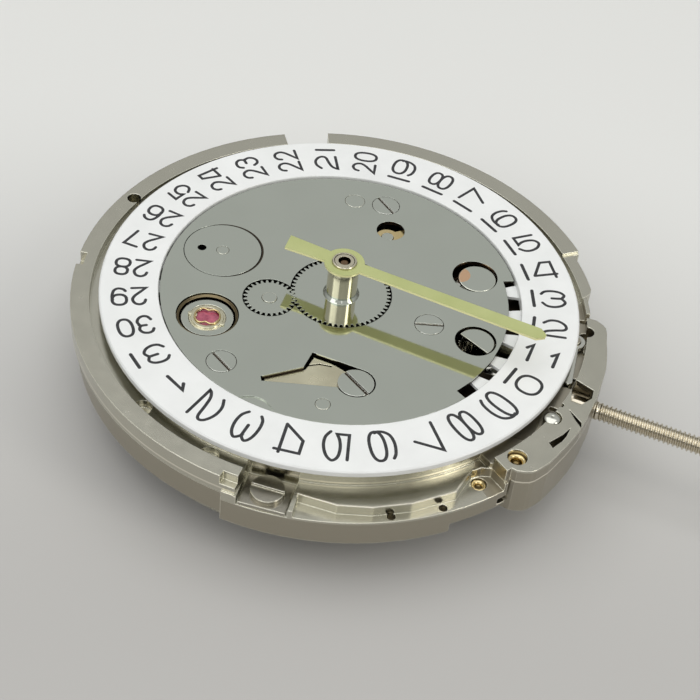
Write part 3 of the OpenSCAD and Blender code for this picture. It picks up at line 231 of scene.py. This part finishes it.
def lay_zones(tree, colour, gloss, zones):
    """Puts zones over colour and roughness: low, high, colour, roughness and at times a round place."""
    for low, high, shade, dull, *pool in zones:
        mask = height_zone(tree, low, high, *pool)
        colour = over(tree, mask, colour, shade)
        gloss = over(tree, mask, gloss, dull, "FLOAT")
    return colour, gloss


def connect(tree, principled, colour, gloss):
    tree.links.new(colour, principled.inputs["Base Color"])
    tree.links.new(gloss, principled.inputs["Roughness"])


def metal(name, dark, light, rough, grain=3.0, stretch=(1, 1, 1), edge=0.03, zones=(), edge_highlight=None):
    """A metal. Where its last argument is given, that is the colour and width of a painted highlight along
    its edges.
    """
    material, tree, principled = shader(name)
    principled.inputs["Metallic"].default_value = 1.0
    colour = mottled(tree, 0.35, 2.0, dark, light)
    gloss = spread(tree, noise(tree, grain, 4.0, stretch), rough * 0.8, rough * 1.25)
    colour, gloss = lay_zones(tree, colour, gloss, zones)
    if edge_highlight:
        shine, width = edge_highlight
        # Painted highlight: a pale colour and low roughness laid along the edges, where light would catch
        # them
        highlight_mask = edge_mask(tree, width)
        colour = over(tree, highlight_mask, colour, shine)
        gloss = over(tree, highlight_mask, gloss, EDGE_HIGHLIGHT_ROUGH, "FLOAT")
    connect(tree, principled, colour, gloss)
    rounded(tree, principled, edge)
    return material


def lacquer(name, dark, light, rough, coat, edge=0.05, metallic=0.0, zones=()):
    """A lacquer under a clear coat, with a fine bump."""
    material, tree, principled = shader(name)
    principled.inputs["Metallic"].default_value = metallic
    principled.inputs["Coat Weight"].default_value = coat
    principled.inputs["Coat Roughness"].default_value = 0.15
    fine = noise(tree, 9.0, 2.0)
    colour = mottled(tree, 0.5, 3.0, dark, light)
    gloss = spread(tree, fine, rough * 0.9, rough * 1.1)
    connect(tree, principled, *lay_zones(tree, colour, gloss, zones))
    rounded(tree, principled, edge, fine)
    return material


# Colours that several looks share, and the zones made with them
MIRROR = (0.575, 0.605, 0.54)
MIRROR_LOW = (0.565, 0.595, 0.53)
PEACH = (0.80, 0.52, 0.33)
SHADE = (0.07, 0.055, 0.04)
# Painted shade: a darker tone laid on the plate's walls
SHADED_WALL = (0.40, 0.37, 0.30)
# Painted highlight: the pale tone laid along edges
EDGE_HIGHLIGHT_TONE = (0.93, 0.91, 0.78)
DULL_ROUGH = 0.3
MIRROR_ROUGH = 0.07
FLUSH = (0.02, 0.5, MIRROR, MIRROR_ROUGH)
# Painted shade in the gaps and recesses below the cover's top
GAP_SHADE = (-0.9, COVER_TOP - 0.065, SHADE, 0.35)


def plate_metal():
    """Nickel: dull walls darkened with painted shade, painted shade on the floor under the cover with copper
    tones under the windows, a painted highlight on the crest and along the edges, a flush top.
    """
    low_wall = (-5.0, -1.42)
    land_wall = (-1.5, -0.12)
    near_land, far_land = (13.0, -4.5, 4.2), (13.5, 2.5, 4.0)
    floor, under_cover = (-0.66, -0.52), (0, 0, 9.0)
    crest_highlight = (-0.79, -0.70)
    x, y, _ = WINDOWS[1]
    post, post_at = (0.1, 0.27), (x - 0.75, y - 0.2, 0.55)
    # The first three zones are painted shade on the walls
    zones = [(*low_wall, SHADED_WALL, DULL_ROUGH),
             (*land_wall, SHADED_WALL, DULL_ROUGH, near_land),
             (*land_wall, SHADED_WALL, DULL_ROUGH, far_land),
             # Painted shade on the floor under the cover
             (*floor, SHADE, 0.4, under_cover),
             (*floor, PEACH, DULL_ROUGH, WINDOWS[0]),
             (*floor, PEACH, DULL_ROUGH, WINDOWS[1]),
             # Painted highlight along the crest
             (*crest_highlight, (0.84, 0.80, 0.68), 0.12),
             FLUSH,
             (*post, PEACH, 0.25, post_at)]
    return metal("nickel_plate", (0.545, 0.53, 0.45), (0.57, 0.555, 0.47), 0.22, grain=1.5, edge=0.06,
                 zones=zones, edge_highlight=(EDGE_HIGHLIGHT_TONE, 0.07))


def cover_metal():
    """Mirror steel, with a painted shadow as a dark crescent round the disc and painted shade in the gaps
    below the top.
    """
    top = (0.1, 0.5)
    x, y = DISC_AT
    # Painted shadow: a dark crescent round the disc, widest on one side; the disc's own top is laid back over
    # it
    crescent_shadow = (x + 0.06, y + 0.03, DISC_R + 0.055)
    zones = [(*top, SHADE, DULL_ROUGH, crescent_shadow),
             (*top, MIRROR, MIRROR_ROUGH, (x, y, DISC_R)),
             GAP_SHADE]
    return metal("mirror_steel", MIRROR_LOW, (0.585, 0.615, 0.55), 0.07, grain=0.8, zones=zones)


def screw_metal():
    """Mirror steel with painted shade in the slots and a painted highlight along the edges."""
    # Painted shade in the slots
    slot_shade = (-2.0, COVER_TOP - 0.03, SHADE, DULL_ROUGH)
    return metal("screw_steel", MIRROR_LOW, (0.60, 0.63, 0.57), 0.09, grain=2.0, edge=0.05,
                 zones=[slot_shade], edge_highlight=((0.9, 0.9, 0.84), 0.05))


def hand_lacquer():
    """Yellow-green lacquer on the top, with a paler painted highlight on the sides."""
    # Painted highlight on the sides
    side_highlight = (HAND_TOP - 2, HAND_TOP - 0.012, (0.92, 0.88, 0.46), DULL_ROUGH)
    return lacquer("hand_lacquer", (0.46, 0.50, 0.20), (0.53, 0.565, 0.25), 0.38, coat=0.3, edge=0.03,
                   metallic=0.25, zones=[side_highlight])


def ruby():
    material, tree, principled = shader("ruby")
    colour = mottled(tree, 3.0, 3.0, (0.30, 0.03, 0.08), (0.72, 0.16, 0.25))
    tree.links.new(colour, principled.inputs["Base Color"])
    principled.inputs["Roughness"].default_value = 0.12
    principled.inputs["Transmission Weight"].default_value = 0.25
    principled.inputs["IOR"].default_value = 1.76
    rounded(tree, principled, 0.05)
    return material


def ring_ink():
    material, tree, principled = shader("ring_ink")
    colour = mottled(tree, 6.0, 3.0, (0.012, 0.012, 0.014), (0.035, 0.035, 0.038))
    tree.links.new(colour, principled.inputs["Base Color"])
    principled.inputs["Roughness"].default_value = 0.5
    return material


MAT = {
    "plate": plate_metal(),
    "cover": cover_metal(),
    "screw": screw_metal(),
    "well": metal("well_bronze", (0.09, 0.07, 0.04), (0.26, 0.21, 0.12), 0.2, grain=6.0),
    "steel": metal("polished_steel", (0.58, 0.58, 0.53), (0.66, 0.66, 0.60), 0.12, edge=0.05),
    # Painted highlight along the clamp's edges
    "clamp": metal("clamp_steel", (0.34, 0.32, 0.27), (0.42, 0.40, 0.34), 0.2, grain=2.0, edge=0.08,
                   edge_highlight=(EDGE_HIGHLIGHT_TONE, 0.06)),
    "stem": metal("stem_steel", (0.58, 0.53, 0.43), (0.66, 0.61, 0.50), 0.14),
    # Painted shade on the tube below the cover's top
    "tube": metal("tube_steel", (0.66, 0.61, 0.47), (0.74, 0.69, 0.54), 0.12, stretch=(1, 1, 0.2),
                  zones=[GAP_SHADE, FLUSH]),
    "gilt": metal("pale_gilt", (0.68, 0.53, 0.26), (0.78, 0.64, 0.36), 0.18),
    # Painted highlight along the edges
    "pale": metal("silver_gilt", (0.62, 0.58, 0.42), (0.78, 0.74, 0.55), 0.24, grain=1.5, edge=0.06,
                  edge_highlight=((0.95, 0.92, 0.72), 0.07)),
    "rotor": metal("rotor_nickel", (0.45, 0.44, 0.38), (0.58, 0.57, 0.50), 0.3, grain=2.0,
                   stretch=(3, 0.5, 1), edge=0.04),
    "bridge": metal("bridge_nickel", (0.48, 0.47, 0.39), (0.60, 0.58, 0.50), 0.28, grain=1.2,
                    stretch=(4, 0.5, 1), edge=0.04),
    "brown": metal("brown_arbor", (0.16, 0.10, 0.06), (0.26, 0.17, 0.10), 0.3, edge=0.02),
    "white": lacquer("white_lacquer", (0.80, 0.81, 0.80), (0.86, 0.87, 0.86), 0.42, coat=0.25),
    "hand": hand_lacquer(),
    "ruby": ruby(),
    "ink": ring_ink(),
}

# The look of each node; those that aren't named are polished steel
NODE_LOOK = {
    "plate": ["main_plate"],
    "clamp": ["casing_clamp", "casing_clamp_screw"],
    "pale": ["setting_spring", "dial_shock_setting"],
    "cover": ["calendar_plate", "date_driving_wheel", "date_idler", "minute_wheel"],
    "screw": ["calendar_screws", "setting_spring_screw"],
    "white": ["date_ring"],
    "hand": ["hand"],
    "tube": ["hour_wheel", "cannon_pinion"],
    "ruby": ["dial_shock_jewel", "train_jewels"],
    "rotor": ["rotor_plate", "rotor_weight"],
    "bridge": ["train_bridge", "balance_cock", "pallet_cock", "auto_bridge", "barrel_drum", "barrel_cover"],
    "gilt": ["date_jumper", "date_finger", "centre_wheel", "third_wheel", "escape_wheel", "balance_wheel",
             "back_shock_setting", "reverser_a", "reverser_b", "reduction_wheel", "rotor_gear"],
    "brown": ["fourth_wheel"],
}


def dress_nodes():
    look = {name: key for key, names in NODE_LOOK.items() for name in names}
    for name, obj in nodes.items():
        obj.data.materials.clear()
        obj.data.materials.append(MAT[look.get(name, "steel")])


# Mesh helpers
def piece(name, points, faces, material, body, smooth=False):
    """A new visible piece that rides on a body."""
    mesh = bpy.data.meshes.new(name)
    mesh.from_pydata([Vector(p) * MM for p in points], [], faces)
    mesh.validate()
    mesh.update()
    if smooth:
        mesh.shade_smooth()
    obj = bpy.data.objects.new(name, mesh)
    bpy.context.scene.collection.objects.link(obj)
    mesh.materials.append(material)
    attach(obj, body)
    return obj


def circle(x, y, r, steps=56):
    angles = [math.radians(360.0 * i / steps) for i in range(steps)]
    return [(x + r * math.cos(a), y + r * math.sin(a)) for a in angles]


def turned_ring(name, at, profile, material, around=48):
    """A turned part of the movement: the profile is a closed list of radius and height."""
    points, faces = [], []
    for k in range(around):
        a = 2 * math.pi * k / around
        points.extend((at[0] + r * math.cos(a), at[1] + r * math.sin(a), z) for r, z in profile)
    n = len(profile)
    for k in range(around):
        a, b = k * n, (k + 1) % around * n
        for i in range(n):
            j = (i + 1) % n
            faces.append((a + i, b + i, b + j, a + j))
    return piece(name, points, faces, material, "movement", True)


def wire_loop(name, path, thick, z, material, around=8):
    """A closed bent wire of the movement, lying at one height."""
    points, faces = [], []
    n = len(path)
    for i, p in enumerate(path):
        ahead, behind = Vector(path[(i + 1) % n]), Vector(path[i - 1])
        along = (ahead - behind).normalized()
        side = Vector((-along.y, along.x))
        for k in range(around):
            a = 2 * math.pi * k / around
            out = Vector(p) + side * thick * math.cos(a)
            points.append((out.x, out.y, z + thick * math.sin(a)))
    for i in range(n):
        for k in range(around):
            j, m = (i + 1) % n, (k + 1) % around
            faces.append((i * around + k, i * around + m, j * around + m, j * around + k))
    return piece(name, points, faces, material, "movement", True)


def slab(name, outline, low, high, soft=0.02):
    """A flat steel part of the movement, chamfered round its top; the outline runs anticlockwise."""
    n = len(outline)
    middle = sum((Vector(p) for p in outline), Vector((0, 0))) / n
    inner = [Vector(p) + (middle - Vector(p)).normalized() * soft for p in outline]
    points = [(*p, low) for p in outline] + [(*p, high - soft) for p in outline] + [(*p, high) for p in inner]
    faces = [tuple(reversed(range(n))), tuple(range(2 * n, 3 * n))]
    for row in (0, n):
        faces.extend((row + i, row + (i + 1) % n, row + n + (i + 1) % n, row + n + i) for i in range(n))
    return piece(name, points, faces, MAT["plate"], "movement")


# Strokes of the date numbers
def oval(cx, cy, rx, ry, steps=40, power=2.35):
    """A full, slightly squared oval."""
    points = []
    for i in range(steps):
        a = 2 * math.pi * i / steps
        c, s = math.cos(a), math.sin(a)
        points.append((cx + rx * math.copysign(abs(c) ** (2 / power), c),
                       cy + ry * math.copysign(abs(s) ** (2 / power), s)))
    return points


def curve(points, steps=6):
    """A smooth line through the given points."""
    ends = [points[0]] + list(points) + [points[-1]]
    line = []
    for a, b, c, d in zip(ends, ends[1:], ends[2:], ends[3:]):
        for k in range(steps):
            t = k / steps
            line.append(tuple(
                0.5 * (2 * q + (r - p) * t + (2 * p - 5 * q + 4 * r - w) * t * t
                       + (3 * q - p - 3 * r + w) * t ** 3)
                for p, q, r, w in zip(a, b, c, d)))
    line.append(tuple(points[-1]))
    return line


# Each digit's strokes in a unit box, as it reads: points, and whether the stroke closes on itself
OPEN, CLOSED = False, True
SIX = [(curve([(0.95, 0.83), (0.78, 0.95), (0.46, 1.0), (0.18, 0.91), (0.04, 0.70), (0.0, 0.45),
               (0.04, 0.31)]), OPEN),
       (oval(0.5, 0.31, 0.5, 0.31), CLOSED)]
DIGITS = {
    "0": [(oval(0.5, 0.5, 0.5, 0.5), CLOSED)],
    "1": [([(0.5, 0.0), (0.5, 1.0)], OPEN)],
    "2": [(curve([(0.08, 0.73), (0.18, 0.90), (0.48, 1.0), (0.82, 0.93), (0.98, 0.70), (0.82, 0.48),
                  (0.45, 0.26)]) + [(0.0, 0.0), (1.0, 0.0)], OPEN)],
    "3": [(curve([(0.02, 0.25), (0.20, 0.06), (0.50, 0.0), (0.82, 0.09), (0.99, 0.30), (0.86, 0.53)])
           + curve([(0.86, 0.53), (0.99, 0.74), (0.82, 0.93), (0.48, 1.0), (0.18, 0.95), (0.02, 0.80)]),
           OPEN),
          ([(0.86, 0.53), (0.45, 0.54)], OPEN)],
    "4": [([(0.91, 0.0), (0.91, 1.0), (0.46, 1.0), (0.0, 0.2)], OPEN), ([(0.0, 0.2), (1.0, 0.2)], OPEN)],
    "5": [(curve([(0.0, 0.27), (0.2, 0.06), (0.5, 0.0), (0.82, 0.10), (0.99, 0.33), (0.86, 0.56),
                  (0.55, 0.65), (0.28, 0.62), (0.08, 0.52)]) + [(0.09, 1.0), (0.95, 0.93)], OPEN)],
    "6": SIX,
    "7": [([(0.0, 1.0), (1.0, 0.93), (0.5, 0.0)], OPEN)],
    "8": [(oval(0.5, 0.76, 0.44, 0.24), CLOSED), (oval(0.5, 0.26, 0.5, 0.26), CLOSED)],
    "9": [([(1 - x, 1 - y) for x, y in points], closed) for points, closed in SIX],
    "flag one": [([(0.75, 0.0), (0.75, 1.0), (0.0, 0.74)], OPEN)],
    "swan two": [(curve([(0.05, 0.76), (0.30, 0.96), (0.62, 1.0), (0.90, 0.86), (1.0, 0.66), (0.90, 0.50),
                         (0.55, 0.40), (0.22, 0.28), (0.05, 0.12), (0.0, 0.0)]) + [(1.0, 0.06)], OPEN)],
}

SWAN_TWO_IN = ("2", "12", "21")

# The ring's 31 places; TURN is in degrees, and is how far each number stands past its place
DATE_COUNT = 31
DATE_STEP = 360.0 / DATE_COUNT
NUMBER_AT_STEM = 11
TURN = 0.74

# Ink: width of strokes, rise above the ring, and how much more each further stroke of a digit rises
STROKE = 0.15
BAR = 0.17
INK_RISE = 0.004
INK_LAYER = 0.002
CAP_STEPS = 5
MITRE_LIMIT = 0.45

# Where digits stand: radius at the middle of a digit, its width, and its height between the strokes' centres
DIGIT_HIGH = 1.14
ALONE = (10.16, 1.72, DIGIT_HIGH)
AFTER_ONE = (10.43, 1.17, DIGIT_HIGH)
BEFORE_ONE = (9.92, 1.02, DIGIT_HIGH)
PAIR = ((9.73, 0.68, DIGIT_HIGH), (10.68, 0.68, DIGIT_HIGH))
ONE_ALONE = (10.11, 0.38, 1.08)
ONE_PAIR = ((9.57, 0.32, 1.12), (10.81, 0.32, 0.94))
FIRST_ONE = (9.43, 1.0, 1.1)
LAST_ONE = (11.0, 1.0, 0.94)


def number_spots(text):
    """Glyph, radius of its middle, width, height and stroke of each digit."""
    glyphs = ["swan two" if digit == "2" and text in SWAN_TWO_IN else digit for digit in text]
    if text == "1":
        return [("flag one", *ONE_ALONE, BAR)]
    if text == "11":
        return [("flag one", *spot, BAR) for spot in ONE_PAIR]
    if len(text) == 1:
        return [(glyphs[0], *ALONE, STROKE)]
    if text[0] == "1":
        return [("1", *FIRST_ONE, BAR), (glyphs[1], *AFTER_ONE, STROKE)]
    if text[1] == "1":
        return [(glyphs[0], *BEFORE_ONE, STROKE), ("1", *LAST_ONE, BAR)]
    return [(glyph, *spot, STROKE) for glyph, spot in zip(glyphs, PAIR)]


def offset_sides(points, half, closed):
    """Left and right edge of a stroke, mitred at its corners."""
    left, right = [], []
    count = len(points)
    for i, point in enumerate(points):
        here = Vector(point)
        into = (here - Vector(points[i - 1])).normalized() if closed or i > 0 else None
        away = (Vector(points[(i + 1) % count]) - here).normalized() if closed or i < count - 1 else None
        into, away = into or away, away or into
        across = Vector((-into.y, into.x))
        mitre = (across + Vector((-away.y, away.x))).normalized()
        reach = half / max(mitre.dot(across), MITRE_LIMIT)
        left.append(here + mitre * reach)
        right.append(here - mitre * reach)
    return left, right


def round_end(before, tip, half):
    """Points between the two sides of a stroke, round its tip."""
    along = (Vector(tip) - Vector(before)).normalized()
    across = Vector((-along.y, along.x))
    angles = [math.pi / 2 - math.pi * k / CAP_STEPS for k in range(1, CAP_STEPS)]
    return [Vector(tip) + half * (along * math.cos(t) + across * math.sin(t)) for t in angles]


def add_stroke(points, half, closed, place, low, high, out_points, out_faces):
    """Adds one solid stroke of ink; place takes a flat point and a height to the ring."""
    side_highlight = offset_sides(points, half, closed)
    n = len(points)
    base = len(out_points)
    for z in (high, low):
        for side in side_highlight:
            out_points.extend(place(p, z) for p in side)
    left, right, left_low, right_low = (base + k * n for k in range(4))
    for i in range(n if closed else n - 1):
        j = (i + 1) % n
        out_faces.append((left + i, right + i, right + j, left + j))
        out_faces.append((left_low + i, left + i, left + j, left_low + j))
        out_faces.append((right + i, right_low + i, right_low + j, right + j))
        out_faces.append((left_low + j, right_low + j, right_low + i, left_low + i))
    if closed:
        return
    start_end = (points[1], points[0], 0, n, 0)
    far_end = (points[-2], points[-1], n - 1, 0, n)
    for before, tip, k, first, last in (start_end, far_end):
        inner = round_end(before, tip, half)
        rims = []
        for row, z in ((left, high), (left_low, low)):
            start = len(out_points)
            out_points.extend(place(p, z) for p in inner)
            rims.append([row + first + k, *range(start, start + len(inner)), row + last + k])
        top, bottom = rims
        out_faces.append(tuple(reversed(top)))
        out_faces.append(tuple(bottom))
        for i in range(len(top) - 1):
            out_faces.append((top[i], top[i + 1], bottom[i + 1], bottom[i]))


def date_numbers():
    """All numbers of the ring: each reads outwards along its radius."""
    points, faces = [], []
    for number in range(1, DATE_COUNT + 1):
        a = math.radians((number - NUMBER_AT_STEM) * DATE_STEP + TURN)
        c, s = math.cos(a), math.sin(a)

        def place(p, z, c=c, s=s):
            return (p[0] * c - p[1] * s, p[0] * s + p[1] * c, z)

        for glyph, middle, wide, high, stroke in number_spots(str(number)):
            for layer, (line, closed) in enumerate(DIGITS[glyph]):
                scaled = [(middle + (x - 0.5) * wide, (y - 0.5) * high) for x, y in line]
                add_stroke(scaled, stroke / 2, closed, place, RING_TOP - INK_LAYER,
                           RING_TOP + INK_RISE + INK_LAYER * layer, points, faces)
    return piece("date_numbers", points, faces, MAT["ink"], "date_ring")


# Winding stem: places along it, radii, and its thread, with the steps of each turn
STEM_START = 5.3
CENTRE_R = 0.02
PILOT_R, PILOT_CHAMFER = 0.28, 0.04
SQUARE_FROM, SQUARE_TO = 6.5, 9.9
SQUARE_R, SQUARE_HALF = 0.41, 0.29
SHANK_R = 0.42
GROOVE_FROM, GROOVE_TO = 11.53, 11.97
GROOVE_R = 0.30
COLLAR_FROM, COLLAR_R = 11.25, 0.55
SHOULDER = 13.2
CHAMFER = 0.02
THREAD_R = 0.45
THREAD_PITCH = 0.225
THREAD_DEPTH = 0.1
THREAD_STEEP, THREAD_CREST = 1.5, 0.2
THREAD_STEPS = 8
RUNOUT = 0.5
POINT, POINT_SLOPE = 0.12, 0.8
STEM_ROUND = 28


def collar(start, end):
    return [(start, COLLAR_R - CHAMFER), (start + CHAMFER, COLLAR_R),
            (end - CHAMFER, COLLAR_R), (end, COLLAR_R - CHAMFER)]


def stem_profile():
    """Places and radii along the stem, from its pilot to its shoulder."""
    return [(STEM_START, CENTRE_R), (STEM_START, PILOT_R - PILOT_CHAMFER),
            (STEM_START + PILOT_CHAMFER, PILOT_R), (SQUARE_FROM, PILOT_R),
            (SQUARE_FROM, SQUARE_R), (SQUARE_TO, SQUARE_R), (SQUARE_TO, SHANK_R), (COLLAR_FROM, SHANK_R),
            *collar(COLLAR_FROM, GROOVE_FROM), (GROOVE_FROM, GROOVE_R), (GROOVE_TO, GROOVE_R),
            *collar(GROOVE_TO, SHOULDER), (SHOULDER, THREAD_R)]


def squared(a):
    """How much of its corner radius the square has at an angle."""
    return min(1.0, SQUARE_HALF / SQUARE_R / max(abs(math.cos(a)), abs(math.sin(a))))


def thread_radius(x, share):
    """Radius of the threaded length at x, for a share of a turn round it."""
    turn = (x - SHOULDER) / THREAD_PITCH - share
    wave = abs(2 * (turn % 1.0) - 1)
    groove = min(1.0, max(wave * THREAD_STEEP - THREAD_CREST, 0))
    depth = THREAD_DEPTH * min(1.0, (x - SHOULDER) / RUNOUT) * groove
    if x > STEM_END - POINT:
        depth = max(depth, (x - STEM_END + POINT) * POINT_SLOPE)
    return THREAD_R - depth


def stem():
    """The whole stem again, with a cut thread on the part that stands out."""
    shares = [k / STEM_ROUND for k in range(STEM_ROUND)]
    angles = [2 * math.pi * k / STEM_ROUND for k in range(STEM_ROUND)]
    rows = [(x, [r * squared(a) if r == SQUARE_R else r for a in angles]) for x, r in stem_profile()]
    steps = int((STEM_END - SHOULDER) / THREAD_PITCH * THREAD_STEPS)
    for i in range(1, steps + 1):
        x = SHOULDER + (STEM_END - SHOULDER) * i / steps
        rows.append((x, [thread_radius(x, share) for share in shares]))
    points = [(x, r * math.cos(a), STEM_Z + r * math.sin(a))
              for x, radii in rows for r, a in zip(radii, angles)]
    n = STEM_ROUND
    faces = [(i * n + k, i * n + (k + 1) % n, (i + 1) * n + (k + 1) % n, (i + 1) * n + k)
             for i in range(len(rows) - 1) for k in range(n)]
    faces.append(tuple(reversed(range(n))))
    faces.append(tuple(range(len(points) - n, len(points))))
    obj = piece("threaded_stem", points, faces, MAT["stem"], "stem")
    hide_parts("stem")
    return obj


# Small fittings of the dial side
def window_fillers():
    """Bright steel just under the cover in two windows; the second is cut off along a slanted line."""
    low, high = COVER_TOP - 0.15, COVER_TOP - 0.02
    cut_across, cut_at = (0.383, 0.924), -0.24
    x, y, r = WINDOWS[1]
    slab("window_bar_a", circle(x + 0.15, y - 0.08, r - 0.2), low, high)
    x, y, r = WINDOWS[2]
    whole = circle(x + 0.03, y - 0.03, r - 0.12)
    kept = [(a, b) for a, b in whole if (a - x) * cut_across[0] + (b - y) * cut_across[1] > cut_at]
    slab("window_bar_b", kept, low, high)


def shock_spring():
    """The lyre spring that holds the ruby: a wire loop, pinched on two sides, where it bends over it."""
    steps = 72
    loop_r, wire_r, rise = 0.60, 0.045, 0.03
    pinch_depth, pinch_wide = 0.20, 24
    turn = 14
    path = []
    for k in range(steps):
        a = 2 * math.pi * k / steps
        pinch = max(math.exp(-((math.degrees(a) - side) / pinch_wide) ** 2) for side in (90, 270))
        r = loop_r - pinch_depth * pinch
        b = a + math.radians(turn)
        path.append((SHOCK_AT[0] + r * math.cos(b), SHOCK_AT[1] + r * math.sin(b)))
    wire_loop("dial_shock_spring", path, wire_r, SETTING_TOP + rise, MAT["gilt"])


def shock_well():
    """The turned step between the cover and the shock setting, clear of the ring's teeth."""
    low = 0.13
    profile = [(1.47, low), (1.47, 0.2), (1.44, 0.23), (1.41, 0.21), (1.34, low), (1.3, low)]
    turned_ring("shock_well", SHOCK_AT, profile, MAT["well"])


def bush(name, at, r, low, high):
    """A flanged bush round a threaded hole."""
    wall, lip, chamfer, sink = 0.2, 0.12, 0.03, 0.1
    profile = [(r, low), (r, high - chamfer), (r - chamfer, high), (r - lip, high), (r - wall, high - sink),
               (r - wall, low)]
    turned_ring(name, at, profile, MAT["gilt"])


def land_fittings():
    """A domed pin in the dimple, and bushes in the two threaded holes."""
    foot, centre = -0.28, 0.004
    dome = [(0.40, foot), (0.40, -0.06), (0.37, -0.02), (0.27, 0.03), (0.14, 0.06), (centre, 0.07),
            (centre, foot)]
    turned_ring("dome_pin", DOME_PIN_AT, dome, MAT["steel"])
    bush("land_bush", LAND_HOLE_AT, 0.44, -0.9, -0.22)
    bush("shelf_bush", SHELF_HOLE_AT, 0.35, -1.66, -1.36)


# Floor, lamps and camera; the lamps are placed in metres
FLOOR_DROP = 0.02
FLOOR_HALF = 1500
# Painted shade on the floor: darker near the camera
FLOOR_NEAR = (0.475, 0.465, 0.45)
FLOOR_FAR = (0.74, 0.74, 0.72)
FADE_ALONG = (-0.31, 0.95, 0)
FADE_FROM, FADE_TO = -19, 22
LOW_SKY = (0.20, 0.19, 0.17)
HIGH_SKY = (0.93, 0.94, 0.93)
HIGH_SKY_FROM = 0.55


def stage():
    """A pale floor with painted shade that makes it darker towards the camera."""
    z = cad_box[0][2] - FLOOR_DROP * MM
    half = FLOOR_HALF * MM
    mesh = bpy.data.meshes.new("floor")
    corners = [(-half, -half, z), (half, -half, z), (half, half, z), (-half, half, z)]
    mesh.from_pydata(corners, [], [(0, 1, 2, 3)])
    floor = bpy.data.objects.new("floor", mesh)
    bpy.context.scene.collection.objects.link(floor)
    material, tree, principled = shader("pale_floor")
    coords = tree.nodes.new("ShaderNodeTexCoord")
    along = tree.nodes.new("ShaderNodeVectorMath")
    along.operation = "DOT_PRODUCT"
    along.inputs[1].default_value = FADE_ALONG
    fade = tree.nodes.new("ShaderNodeMapRange")
    fade.interpolation_type = "SMOOTHSTEP"
    fade.inputs["From Min"].default_value = FADE_FROM * MM
    fade.inputs["From Max"].default_value = FADE_TO * MM
    tree.links.new(coords.outputs["Object"], along.inputs[0])
    tree.links.new(along.outputs["Value"], fade.inputs["Value"])
    tree.links.new(tint(tree, fade.outputs["Result"], FLOOR_NEAR, FLOOR_FAR), principled.inputs["Base Color"])
    principled.inputs["Roughness"].default_value = 0.75
    mesh.materials.append(material)


def lamp(name, at, aim, size, power, colour=(1, 1, 1)):
    data = bpy.data.lights.new(name, "AREA")
    data.shape = "RECTANGLE"
    data.size, data.size_y = size
    data.energy = power
    data.color = colour
    obj = bpy.data.objects.new(name, data)
    bpy.context.scene.collection.objects.link(obj)
    obj.location = at
    obj.rotation_euler = (Vector(aim) - Vector(at)).to_track_quat("-Z", "Y").to_euler()


def lights():
    lamp("softbox", at=(-0.08, -0.06, 0.45), aim=(-0.08, -0.06, 0), size=(0.62, 0.62), power=1.25)
    lamp("side_strip", at=(0.34, -0.05, 0.20), aim=(0, 0, 0), size=(0.10, 0.30), power=0.3,
         colour=(1.0, 0.97, 0.90))
    lamp("front_fill", at=(-0.15, -0.36, 0.25), aim=(0, 0, 0), size=(0.30, 0.20), power=0.25)


def sky():
    """A soft room: dim below, bright above."""
    world = bpy.data.worlds.new("soft_room")
    bpy.context.scene.world = world
    world.use_nodes = True
    tree = world.node_tree
    background = tree.nodes["Background"]
    coords = tree.nodes.new("ShaderNodeTexCoord")
    split = tree.nodes.new("ShaderNodeSeparateXYZ")
    ramp = tree.nodes.new("ShaderNodeValToRGB")
    tree.links.new(coords.outputs["Generated"], split.inputs["Vector"])
    tree.links.new(split.outputs["Z"], ramp.inputs["Fac"])
    low, high = ramp.color_ramp.elements
    low.position, high.position = 0.0, HIGH_SKY_FROM
    low.color, high.color = (*LOW_SKY, 1), (*HIGH_SKY, 1)
    tree.links.new(ramp.outputs["Color"], background.inputs["Color"])
    background.inputs["Strength"].default_value = 0.6


def camera():
    data = bpy.data.cameras.new("photo_camera")
    data.lens = LENS
    data.sensor_width = SENSOR
    data.clip_start = CLIP_NEAR * MM
    data.clip_end = CLIP_FAR * MM
    obj = bpy.data.objects.new("photo_camera", data)
    bpy.context.scene.collection.objects.link(obj)
    at, aim = Vector(CAMERA_AT), Vector(AIM_AT)
    forward = (aim - at).normalized()
    right = forward.cross(Vector((0, 0, 1))).normalized()
    down = forward.cross(right)
    look = Matrix((right, down, forward))
    small_turns = Matrix.Rotation(ROLL, 3, "Z") @ Matrix.Rotation(TILT, 3, "X") @ Matrix.Rotation(PAN, 3, "Y")
    x_axis, y_axis, z_axis = small_turns @ look
    matrix = Matrix((x_axis, -y_axis, -z_axis)).transposed().to_4x4()
    matrix.translation = at * MM
    obj.matrix_world = matrix
    bpy.context.scene.camera = obj


dress_nodes()
date_numbers()
stem()
window_fillers()
shock_spring()
shock_well()
land_fittings()
stage()
lights()
sky()
camera()
bpy.context.scene.view_settings.view_transform = "Standard"

bpy.context.view_layer.update()
